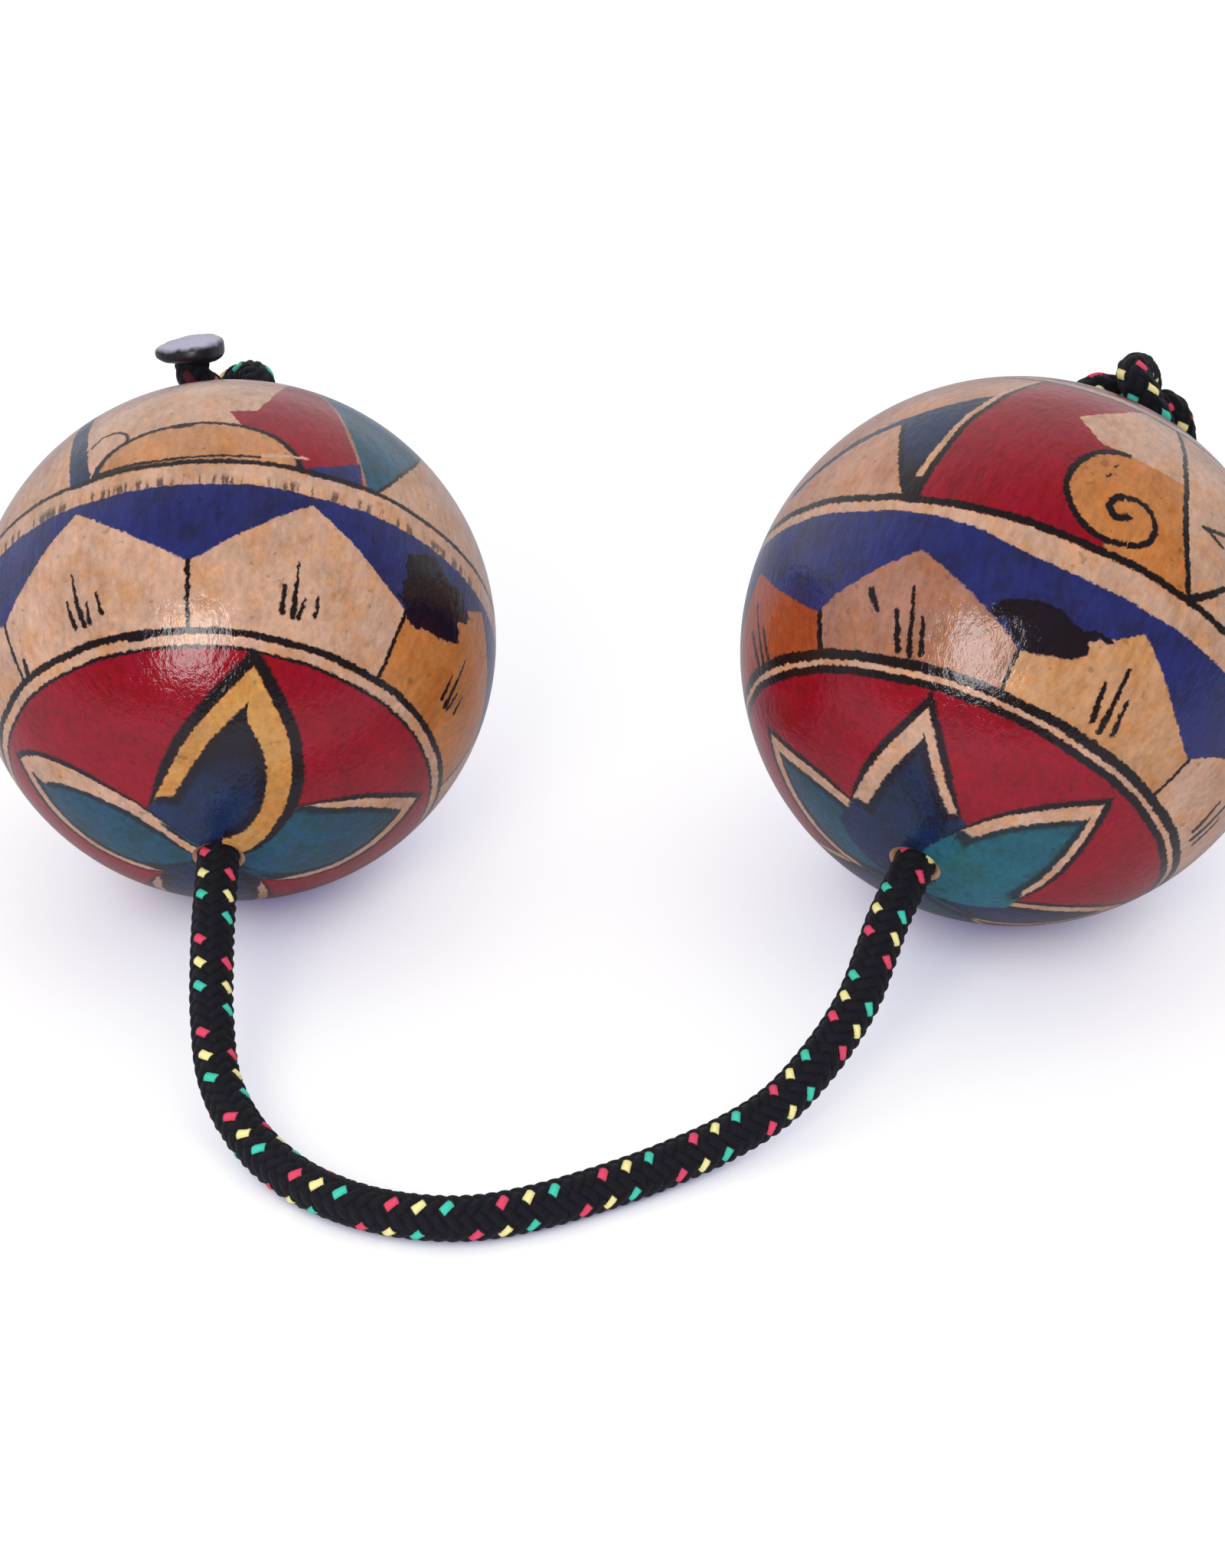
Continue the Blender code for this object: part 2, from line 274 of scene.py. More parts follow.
class Graph:
    """A shader node tree that is filled by arithmetic on fields."""

    MIX_A = 6
    MIX_B = 7
    MIX_RESULT = 2

    def __init__(self, tree: bpy.types.NodeTree) -> None:
        """Keep the tree that the nodes go into."""
        self.tree = tree

    def node(self, kind: str, **settings: object) -> bpy.types.Node:
        """Add a node.

        Args:
            kind: Blender's name for the node type.
            **settings: Properties to set on it.

        Returns:
            The new node.
        """
        node = self.tree.nodes.new(kind)
        for name, value in settings.items():
            setattr(node, name, value)
        return node

    def plug(self, socket: bpy.types.NodeSocket, value: object) -> None:
        """Feed an input socket.

        Args:
            socket: The input.
            value: A field to link, or a constant to set.
        """
        if isinstance(value, Field):
            self.tree.links.new(value.socket, socket)
        elif isinstance(value, tuple) and len(value) == 3 and socket.type == "RGBA":
            socket.default_value = (*value, 1.0)
        else:
            socket.default_value = value

    def math(self, operation: str, *values: Value) -> Field:
        """Add one Math node.

        Args:
            operation: Blender's name for the operation.
            *values: Its operands.

        Returns:
            The result.
        """
        node = self.node("ShaderNodeMath", operation=operation)
        for socket, value in zip(node.inputs, values):
            self.plug(socket, value)
        return Field(self, node.outputs[0])

    def ramp(self, value: Value, start: Value, stop: Value) -> Field:
        """Smooth step.

        Args:
            value: What is tested.
            start: Where the step is still zero.
            stop: Where it has reached one.

        Returns:
            A mask from zero to one.
        """
        node = self.node("ShaderNodeMapRange", interpolation_type="SMOOTHSTEP")
        for name, given in (("Value", value), ("From Min", start), ("From Max", stop)):
            self.plug(node.inputs[name], given)
        return Field(self, node.outputs["Result"])

    def mix(self, share: Value, below: Paint, above: Paint) -> Field:
        """Lay one colour over another.

        Args:
            share: Cover of the upper colour.
            below: Lower colour.
            above: Upper colour.

        Returns:
            The mixed colour.
        """
        node = self.node("ShaderNodeMix", data_type="RGBA")
        self.plug(node.inputs[0], share)
        self.plug(node.inputs[self.MIX_A], below)
        self.plug(node.inputs[self.MIX_B], above)
        return Field(self, node.outputs[self.MIX_RESULT])

    def tint(self, colour: Paint, strength: Value) -> Field:
        """Scale a colour's brightness by a field."""
        node = self.node("ShaderNodeVectorMath", operation="SCALE")
        self.plug(node.inputs[0], colour)
        self.plug(node.inputs["Scale"], strength)
        return Field(self, node.outputs[0])

    def soak(self, colour: Paint, dye: Colour) -> Field:
        """Let a dye soak into a colour, as a clear stain would."""
        node = self.node("ShaderNodeVectorMath", operation="MULTIPLY")
        self.plug(node.inputs[0], colour)
        self.plug(node.inputs[1], dye)
        return Field(self, node.outputs[0])

    def noise(self, place: Field, scale: float, detail: float = 2.0, rough: float = 0.5) -> Field:
        """Grey noise about one half.

        Args:
            place: Vector that the noise is read at.
            scale: Grains per unit.
            detail: Octaves.
            rough: Weight of the fine octaves.

        Returns:
            Noise from zero to one.
        """
        return Field(self, self.noise_node(place, scale, detail, rough).outputs["Fac"])

    def noise_node(self, place: Field, scale: float, detail: float, rough: float) -> bpy.types.Node:
        """The noise node itself, for its colour channels."""
        node = self.node("ShaderNodeTexNoise")
        self.plug(node.inputs["Vector"], place)
        self.plug(node.inputs["Scale"], scale)
        self.plug(node.inputs["Detail"], detail)
        self.plug(node.inputs["Roughness"], rough)
        return node

    def parts(self, vector: Field) -> tuple[Field, Field, Field]:
        """The three numbers of a vector."""
        node = self.node("ShaderNodeSeparateXYZ")
        self.plug(node.inputs[0], vector)
        return tuple(Field(self, node.outputs[axis]) for axis in "XYZ")

    def vector(self, x: Value, y: Value, z: Value = 0.0) -> Field:
        """A vector from three numbers."""
        node = self.node("ShaderNodeCombineXYZ")
        for socket, value in zip(node.inputs, (x, y, z)):
            self.plug(socket, value)
        return Field(self, node.outputs[0])

    def place(self) -> Field:
        """Surface points in the object's own coordinates."""
        return Field(self, self.node("ShaderNodeTexCoord").outputs["Object"])

    def raise_surface(self, shader: bpy.types.Node, height: Field, strength: float, distance: float) -> None:
        """Let a height field bump a shader's surface.

        Args:
            shader: The shader.
            height: The height, from zero to about one.
            strength: How much of the bump shows.
            distance: What a height of one stands for, in metres.
        """
        bump = self.node("ShaderNodeBump")
        bump.inputs["Strength"].default_value = strength
        bump.inputs["Distance"].default_value = distance
        self.plug(bump.inputs["Height"], height)
        self.plug(shader.inputs["Normal"], Field(self, bump.outputs["Normal"]))

    def use(self, group: bpy.types.NodeTree, **inputs: object) -> dict[str, Field]:
        """Place a node group.

        Args:
            group: The group.
            **inputs: Fields or constants for its inputs, with _ for a space.

        Returns:
            Its outputs by name.
        """
        node = self.node("ShaderNodeGroup", node_tree=group)
        for name, value in inputs.items():
            self.plug(node.inputs[name.replace("_", " ")], value)
        return {socket.name: Field(self, socket) for socket in node.outputs}


def blank_finish(name: str) -> tuple[bpy.types.Material, Graph, bpy.types.Node]:
    """Start a material.

    Args:
        name: Its name.

    Returns:
        The material, its graph and its shader.
    """
    material = bpy.data.materials.new(name)
    material.use_nodes = True
    return material, Graph(material.node_tree), material.node_tree.nodes["Principled BSDF"]


@dataclass
class Recipe:
    """A node group that is built once and placed in each material that needs it."""

    name: str
    inputs: dict[str, str]
    outputs: dict[str, str]
    rule: Callable[[Graph, dict[str, Field]], dict[str, Field]]

    def build(self) -> bpy.types.NodeTree:
        """Make the group.

        Returns:
            The finished node group.
        """
        tree = bpy.data.node_groups.new(self.name, "ShaderNodeTree")
        for name, kind in self.inputs.items():
            tree.interface.new_socket(name, in_out="INPUT", socket_type=f"NodeSocket{kind}")
        for name, kind in self.outputs.items():
            tree.interface.new_socket(name, in_out="OUTPUT", socket_type=f"NodeSocket{kind}")
        graph = Graph(tree)
        entry = graph.node("NodeGroupInput")
        leave = graph.node("NodeGroupOutput")
        given = {name: Field(graph, entry.outputs[name]) for name in self.inputs}
        for name, result in self.rule(graph, given).items():
            graph.plug(leave.inputs[name], result)
        return tree


# Half the width, in degrees on the ball, over which a painted edge fades
EDGE = 0.22

# Scale, detail and depth input of a painter's slow wobble and of ragged wax
HAND_NOISES = ((130.0, 1.0, "Wobble"), (1700.0, 3.0, "Rag"))

# Smallest sine of the fall that a width is divided by near a pole
POLE_SINE = 0.08
PETAL_POLE_SINE = 0.1

# Petals: least slope of a side, slope past its limit, and width of the shade inside the outline
LEAST_SLOPE = 0.05
PAST_SLOPE = 0.8
SHADE_WIDTH = 1.1

# Petals: shares of a side's reach where the outline thins, the wax stops and the rim fades,
# and the degrees behind the tip over which a dark tip fades
OUTLINE_THINS = 0.72
WAX_STOPS = 0.97
RIM_FADE = (1.4, 0.4)
TIP_FADE = (30.0, 17.0)

# The braid: yarns laid each way, the coloured ones among them, the length in which a yarn
# goes once round, and the share of its height that a yarn keeps where it dives
YARNS_EACH_WAY = 8
TRACERS = {"Red": 0, "Yellow": 2, "Green": 4}
BRAID_PITCH = 0.0110
YARN_DIVE = 0.45

# Number inputs of the shared groups
ANGLES = ["Fall", "Turn"]
PETAL_SIZES = ["Lean", "Curl", "Reach", "Limit", "Outline", "Taper"]
HILL_SIZES = [
    "Phase", "Period", "Shoulder", "Tip", "Tip Shift", "Bulge", "Bulge Step", "Crowd", "Crowd Turn",
]
OVAL_SIZES = ["Centre Turn", "Centre Fall", "Half Turn", "Half Fall", "Line"]
ARC_SIZES = ["Centre Turn", "Centre Fall", "Radius", "Start", "Sweep", "First Half", "Last Half"]
BRUSH_SIZES = ["From Turn", "From Fall", "To Turn", "To Fall", "From Half", "To Half"]

# Names of the maps and the attribute that the finishes read
BRAID_MAP = "braid_map"
BEAD_MAP = "UVMap"
SCORCH = "scorch"


def ball_angles(graph: Graph, given: dict[str, Field]) -> dict[str, Field]:
    """Fall from the painted pole and turn round it in degrees, with a painter's wobble and ragged wax.

    Args:
        graph: The group's graph.
        given: Its inputs.

    Returns:
        Its outputs.
    """
    place = given["Place"]
    unit = graph.node("ShaderNodeVectorMath", operation="NORMALIZE")
    graph.plug(unit.inputs[0], place)
    x, y, z = graph.parts(Field(graph, unit.outputs[0]))
    fall = graph.math("DEGREES", graph.math("ARCCOSINE", z))
    turn = graph.math("DEGREES", graph.math("ARCTAN2", x, y))
    sweep = graph.math("SINE", graph.math("ARCCOSINE", z)).at_least(POLE_SINE)
    shaken_fall = 0.0
    shaken_turn = 0.0
    for scale, detail, depth in HAND_NOISES:
        hand = graph.noise_node(place, scale, detail, 0.6)
        across, along, _ = graph.parts(Field(graph, hand.outputs["Color"]))
        shaken_fall = (across - 0.5) * given[depth] + shaken_fall
        shaken_turn = (along - 0.5) * given[depth] + shaken_turn
    return {"Fall": fall + shaken_fall, "Turn": turn + shaken_turn / sweep}


def petal(graph: Graph, given: dict[str, Field]) -> dict[str, Field]:
    """A pointed petal with a wax outline, from its tip back to the pole.

    Args:
        graph: The group's graph.
        given: Its inputs.

    Returns:
        Its outputs.
    """
    fall = given["Fall"]
    swing = (given["Turn"] - given["Tip Turn"]).wrap(-180.0, 180.0)
    away = abs(swing)
    right = swing.above(0.0)

    def sided(name: str) -> Field:
        """The left or the right value of an input, by the side of the tip."""
        left_value = given[f"Left {name}"]
        return left_value + (given[f"Right {name}"] - left_value) * right

    lean, curl, reach, limit, outline, taper = (sided(name) for name in PETAL_SIZES)
    run = away.at_most(limit)
    slope = (lean + 2.0 * curl * run).at_least(LEAST_SLOPE)
    sweep = graph.math("SINE", graph.math("RADIANS", fall)).at_least(PETAL_POLE_SINE)
    steep = slope / sweep
    short = graph.math("SQRT", steep * steep + 1.0)
    drop = lean * run + curl * run * run + PAST_SLOPE * (away - run)
    depth = (given["Tip Fall"] - drop - fall) / short
    share = away / reach
    width = outline * (1.0 - taper * share) * graph.ramp(share, 1.0, OUTLINE_THINS)
    body = graph.ramp(depth, -EDGE, EDGE)
    fill = graph.ramp(depth - width, -EDGE, EDGE)
    wax = body * graph.ramp(share, 1.0, WAX_STOPS)
    line = given["Rim"] * graph.ramp(share, *RIM_FADE)
    rim = graph.ramp(depth + line, -2 * EDGE, 2 * EDGE) - body
    shade = fill - graph.ramp(depth - width - SHADE_WIDTH, -EDGE, 4 * EDGE)
    tip = graph.ramp(given["Tip Fall"] - fall, *TIP_FADE) * fill
    return {"Body": wax, "Fill": fill, "Rim": rim, "Shade": shade * away.below(reach), "Tip": tip}


def hill_band(graph: Graph, given: dict[str, Field]) -> dict[str, Field]:
    """A row of pointed hills, each with a line that divides it from the next one.

    Args:
        graph: The group's graph.
        given: Its inputs.

    Returns:
        Its outputs.
    """
    fall, turn = given["Fall"], given["Turn"]
    crowd = graph.math("SINE", graph.math("RADIANS", turn - given["Crowd Turn"]))
    spot = (turn + given["Crowd"] * crowd - given["Phase"]) / given["Period"]
    number = (spot + 0.5).floor()
    swing = (spot - number) * given["Period"]
    half = given["Period"] * 0.5
    left = (swing + half) / (half + given["Tip Shift"])
    right = (half - swing) / (half - given["Tip Shift"])
    climb = left.at_most(right).at_least(0.0)
    bulge = given["Bulge"] + given["Bulge Step"] * number.wrap(0.0, 2.0)
    edge = given["Shoulder"] + (given["Tip"] - given["Shoulder"]) * graph.math("POWER", climb, bulge)
    hill = graph.ramp((edge - fall) * 0.8, -EDGE, EDGE)
    divider = graph.ramp(half - abs(swing), 0.75, 0.35) * graph.ramp(fall, edge + 0.6, edge)
    return {"Hill": hill, "Divider": divider, "Swing": swing, "Number": number}


def ring(graph: Graph, given: dict[str, Field]) -> dict[str, Field]:
    """A painted ring round the pole.

    Args:
        graph: The group's graph.
        given: Its inputs.

    Returns:
        Its outputs.
    """
    off = abs(given["Fall"] - given["Centre"])
    return {"Ring": graph.ramp(off, given["Half Width"] + EDGE, given["Half Width"] - EDGE)}


def oval(graph: Graph, given: dict[str, Field]) -> dict[str, Field]:
    """An oval and the brush line round it.

    Args:
        graph: The group's graph.
        given: Its inputs.

    Returns:
        Its outputs.
    """
    across = (given["Turn"] - given["Centre Turn"]) / given["Half Turn"]
    down = (given["Fall"] - given["Centre Fall"]) / given["Half Fall"]
    size = graph.math("SQRT", across * across + down * down)
    off = (size - 1.0) * given["Half Fall"].at_most(given["Half Turn"])
    inside = graph.ramp(off, EDGE, -EDGE)
    line = graph.ramp(abs(off), given["Line"] + EDGE, given["Line"] - EDGE)
    return {"Inside": inside, "Line": line}


def arc(graph: Graph, given: dict[str, Field]) -> dict[str, Field]:
    """A brush line along part of a circle, anticlockwise from its start angle.

    Args:
        graph: The group's graph.
        given: Its inputs.

    Returns:
        Its outputs.
    """
    across = given["Turn"] - given["Centre Turn"]
    up = given["Centre Fall"] - given["Fall"]
    reach = graph.math("SQRT", across * across + up * up)
    angle = graph.math("DEGREES", graph.math("ARCTAN2", up, across))
    share = (angle - given["Start"]).wrap(0.0, 360.0) / given["Sweep"]
    half = given["First Half"] + (given["Last Half"] - given["First Half"]) * share
    line = graph.ramp(abs(reach - given["Radius"]), half + EDGE, half - EDGE)
    return {"Line": line * share.below(1.0)}


def brush(graph: Graph, given: dict[str, Field]) -> dict[str, Field]:
    """A straight brush stroke with round ends.

    Args:
        graph: The group's graph.
        given: Its inputs.

    Returns:
        Its outputs.
    """
    long = given["To Turn"] - given["From Turn"]
    deep = given["To Fall"] - given["From Fall"]
    across = given["Turn"] - given["From Turn"]
    down = given["Fall"] - given["From Fall"]
    share = ((across * long + down * deep) / (long * long + deep * deep)).at_least(0.0).at_most(1.0)
    aside = across - share * long
    below = down - share * deep
    gap = graph.math("SQRT", aside * aside + below * below)
    half = given["From Half"] + (given["To Half"] - given["From Half"]) * share
    return {"Line": graph.ramp(gap, half + EDGE, half - EDGE)}


def mottle(graph: Graph, given: dict[str, Field]) -> dict[str, Field]:
    """Uneven dye: slow clouds, wood fibres along the pole, fine grain, pores and ragged stains.

    Args:
        graph: The group's graph.
        given: Its inputs.

    Returns:
        Its outputs.
    """
    place = given["Place"]
    clouds = graph.noise(place, 190.0, 3.0, 0.55)
    grain = graph.noise(place, 1500.0, 4.0, 0.7)
    x, y, z = graph.parts(place)
    fibres = graph.noise(graph.vector(x, y, z * 0.3), 1300.0, 3.0, 0.65)
    specks = graph.ramp(graph.noise(place, 820.0, 1.0), 0.70, 0.76)
    stain = graph.ramp(graph.noise(place, 240.0, 6.0, 0.72), 0.47, 0.60)
    return {"Clouds": clouds, "Grain": grain, "Fibres": fibres, "Specks": specks, "Stain": stain}


def braid(graph: Graph, given: dict[str, Field]) -> dict[str, Field]:
    """Two-over-two braid on a map of turns and pitches.

    Args:
        graph: The group's graph.
        given: Its inputs.

    Returns:
        Its outputs.
    """
    turn, pitch, _ = graph.parts(given["Map"])
    first = (pitch - turn) * YARNS_EACH_WAY
    second = (pitch + turn) * YARNS_EACH_WAY
    lane = first.floor()
    cross = second.floor()
    on_top = (lane - cross).wrap(0.0, 4.0).below(1.5)
    over = first - lane
    under = second - cross
    across = under + (over - under) * on_top
    along_first = (second - lane + 1.0).wrap(0.0, 4.0) * 0.5
    along_second = (first - cross - 2.0).wrap(0.0, 4.0) * 0.5
    along = along_second + (along_first - along_second) * on_top
    bow = 2.0 * across - 1.0
    crown = graph.math("SQRT", (1.0 - bow * bow).at_least(0.0))
    rise = graph.math("SINE", along.at_most(1.0) * math.pi)
    height = crown * (YARN_DIVE + (1.0 - YARN_DIVE) * graph.math("SQRT", rise.at_least(0.0)))
    yarn = lane.wrap(0.0, float(YARNS_EACH_WAY))
    fleck = on_top * graph.ramp(rise, 0.40, 0.62) * graph.ramp(crown, 0.30, 0.55)
    flecks = {name: fleck * abs(yarn - float(number)).below(0.5) for name, number in TRACERS.items()}
    fibres = graph.noise(graph.vector(across * 9.0 + lane * 5.0, along * 1.2 + cross * 3.0), 1.0, 2.0)
    return {**flecks, "Height": height, "Fibres": fibres}


def floats(*names: str) -> dict[str, str]:
    """Number sockets of the given names."""
    return dict.fromkeys(names, "Float")


@dataclass
class PatternBook:
    """The node groups that the finishes share."""

    angles: bpy.types.NodeTree
    petal: bpy.types.NodeTree
    hills: bpy.types.NodeTree
    ring: bpy.types.NodeTree
    oval: bpy.types.NodeTree
    arc: bpy.types.NodeTree
    brush: bpy.types.NodeTree
    mottle: bpy.types.NodeTree
    braid: bpy.types.NodeTree

    @classmethod
    def make(cls) -> "PatternBook":
        """Build every shared group.

        Returns:
            The book of groups.
        """
        spot = {"Place": "Vector"}
        sided = [f"{side} {name}" for side in ("Left", "Right") for name in PETAL_SIZES]
        recipes = {
            "angles": Recipe("ball_angles", spot | floats("Wobble", "Rag"), floats(*ANGLES), ball_angles),
            "petal": Recipe(
                "petal", floats(*ANGLES, "Tip Turn", "Tip Fall", "Rim", *sided),
                floats("Body", "Fill", "Rim", "Shade", "Tip"), petal,
            ),
            "hills": Recipe(
                "hill_band", floats(*ANGLES, *HILL_SIZES),
                floats("Hill", "Divider", "Swing", "Number"), hill_band,
            ),
            "ring": Recipe("ring", floats("Fall", "Centre", "Half Width"), floats("Ring"), ring),
            "oval": Recipe("oval", floats(*ANGLES, *OVAL_SIZES), floats("Inside", "Line"), oval),
            "arc": Recipe("arc", floats(*ANGLES, *ARC_SIZES), floats("Line"), arc),
            "brush": Recipe("brush", floats(*ANGLES, *BRUSH_SIZES), floats("Line"), brush),
            "mottle": Recipe("mottle", spot, floats("Clouds", "Grain", "Fibres", "Specks", "Stain"), mottle),
            "braid": Recipe("braid", {"Map": "Vector"}, floats(*TRACERS, "Height", "Fibres"), braid),
        }
        return cls(**{name: recipe.build() for name, recipe in recipes.items()})


# Batik on the balls


@dataclass(frozen=True)
class PetalSide:
    """How one side of a petal runs back from its tip, in degrees on the ball."""

    lean: float
    curl: float
    reach: float
    outline: float
    taper: float = 0.5

    @property
    def limit(self) -> float:
        """How far the side keeps its curve before it would bend back out."""
        past = self.reach + 25.0
        return min(past, -self.lean / (2 * self.curl)) if self.curl < 0 else past


@dataclass(frozen=True)
class Petal:
    """One painted petal: where its tip lies, its two sides, its dye, its dark rim and how dark its tip is."""

    turn: float
    fall: float
    left: PetalSide
    right: PetalSide
    dye: Dye
    rim: float = 1.5
    dark_tip: float = 0.2
    wax: Dye = Dye.TAN


@dataclass(frozen=True)
class Stroke:
    """One straight brush stroke: turn, fall and half width in degrees at both its ends."""

    start: tuple[float, float, float]
    stop: tuple[float, float, float]


@dataclass(frozen=True)
class Arc:
    """One round brush stroke: centre, radius, start angle, sweep and both half widths in degrees."""

    turn: float
    fall: float
    radius: float
    start: float
    sweep: float
    first: float
    last: float


@dataclass(frozen=True)
class HillRow:
    """The row of wax hills between the rings and the belt, the strokes on each hill, and a black patch.

    The patch has its turn, its fall and both half sizes in degrees, and it may cover the hills as well.
    """

    phase: float
    shoulder: float
    tip: float
    strokes: tuple[Stroke, ...]
    dyes: tuple[tuple[int, Dye], ...]
    tip_shift: float = 0.0
    bulge: float = 1.0
    bulge_step: float = 0.0
    crowd: float = 0.0
    crowd_turn: float = 0.0
    count: int = 7
    black_patch: tuple[float, float, float, float] = (0.0, 0.0, 1.0, 1.0)
    patch_over_hills: float = 0.0


@dataclass(frozen=True)
class Belt:
    """The tan belt round the ball's middle: its place, its half width and the swelling on one side."""

    centre: float
    half: float
    line: float
    line_half: float
    swell: float = 0.0
    swell_turn: float = 0.0
    ticks: float = 0.0


@dataclass(frozen=True)
class BatikPattern:
    """All that differs between the two painted balls."""

    tilt: float
    petals: tuple[Petal, ...]
    cap_edge: float
    cap_drift: float
    cap_rings: tuple[tuple[float, float, Dye], ...]
    hills: HillRow
    belt: Belt
    marks: tuple[Stroke, ...]


def plain_side(lean: float, outline: float = 2.6, reach: float = 34.0) -> PetalSide:
    """A straight petal side."""
    return PetalSide(lean, 0.0, reach, outline)


LEFT_PATTERN = BatikPattern(
    tilt=0.0,
    petals=(
        Petal(94.0, 46.0, PetalSide(0.70, -0.003, 40.0, 3.2, 0.75), plain_side(0.7, 2.6, 44.0), Dye.TEAL),
        Petal(
            13.3, 48.6, PetalSide(0.93, -0.0075, 49.0, 4.2, 0.45), PetalSide(0.82, -0.0002, 62.0, 6.4, 0.8),
            Dye.SLATE, rim=2.8, dark_tip=0.9, wax=Dye.OCHRE,
        ),
        Petal(-79.0, 49.0, plain_side(0.8, 2.6, 44.0), PetalSide(0.33, 0.0175, 37.0, 7.3, 0.8), Dye.TEAL),
        Petal(-171.0, 48.0, plain_side(0.8, 2.6, 44.0), plain_side(0.7, 3.0, 44.0), Dye.SLATE),
    ),
    cap_edge=54.8,
    cap_drift=1.7,
    cap_rings=((53.2, 1.2, Dye.TAN), (51.8, 0.4, Dye.LINE), (55.15, 0.8, Dye.LINE)),
    hills=HillRow(
        phase=22.0, shoulder=70.2, tip=85.4, bulge=1.12, dyes=((1, Dye.AMBER),),
        black_patch=(56.0, 78.0, 11.0, 8.5), patch_over_hills=1.0,
        strokes=(
            Stroke((-3.5, 60.9, 0.75), (-3.9, 66.2, 0.35)),
            Stroke((-0.9, 60.5, 0.80), (-1.4, 71.6, 0.25)),
            Stroke((0.6, 60.5, 0.60), (1.2, 64.6, 0.30)),
            Stroke((4.2, 61.6, 0.50), (4.0, 65.8, 0.30)),
        ),
    ),
    belt=Belt(centre=90.2, half=2.6, line=93.7, line_half=0.65, ticks=0.75),
    marks=(Stroke((-19.0, 55.5, 1.0), (-14.5, 55.4, 0.9)), Stroke((-52.5, 57.0, 1.2), (-52.0, 60.5, 0.7))),
)

RIGHT_PATTERN = BatikPattern(
    tilt=9.0,
    petals=(
        Petal(121.0, 46.0, plain_side(1.1), plain_side(1.0), Dye.SLATE),
        Petal(180.0, 46.0, plain_side(0.9), plain_side(1.0), Dye.TEAL),
        Petal(-121.0, 46.5, plain_side(0.9), plain_side(0.95), Dye.SLATE),
        Petal(-62.0, 44.6, plain_side(0.95), PetalSide(0.68, -0.001, 34.0, 2.7, 0.3), Dye.TEAL),
        Petal(
            2.0, 48.1, PetalSide(0.98, -0.0095, 33.0, 3.8, 0.25), PetalSide(1.66, -0.032, 20.0, 2.0, 0.3),
            Dye.SLATE, rim=1.8,
        ),
        Petal(
            58.6, 46.5, PetalSide(0.66, 0.0, 34.0, 3.2, 0.2), PetalSide(1.25, -0.0140, 33.0, 1.6, 0.2),
            Dye.LAGOON,
        ),
    ),
    cap_edge=55.3,
    cap_drift=1.6,
    cap_rings=((53.85, 0.65, Dye.TAN), (52.4, 0.85, Dye.LINE), (55.5, 1.05, Dye.LINE)),
    hills=HillRow(
        phase=-6.9, shoulder=64.3, tip=78.3, tip_shift=-2.0, bulge=0.85, bulge_step=0.35, crowd=4.0,
        # The hill at -1 faces the left ball and carries a painted orange reflection of it
        crowd_turn=17.0, dyes=((-1, Dye.REFLECTED_ORANGE), (0, Dye.ROSE), (1, Dye.STRAW)),
        black_patch=(22.5, 70.6, 10.0, 4.6), patch_over_hills=1.0,
        strokes=(
            Stroke((-2.4, 58.6, 0.85), (-4.4, 65.8, 0.55)),
            Stroke((0.7, 57.8, 0.85), (-1.2, 70.8, 0.40)),
            Stroke((3.9, 58.4, 0.75), (2.3, 65.0, 0.45)),
        ),
    ),
    belt=Belt(centre=87.05, half=1.1, line=89.1, line_half=0.85, swell=1.75, swell_turn=45.0),
    marks=(Stroke((-14.0, 65.6, 0.5), (-16.6, 69.0, 0.9)), Stroke((-30.0, 57.0, 0.9), (-30.0, 64.0, 0.6))),
)


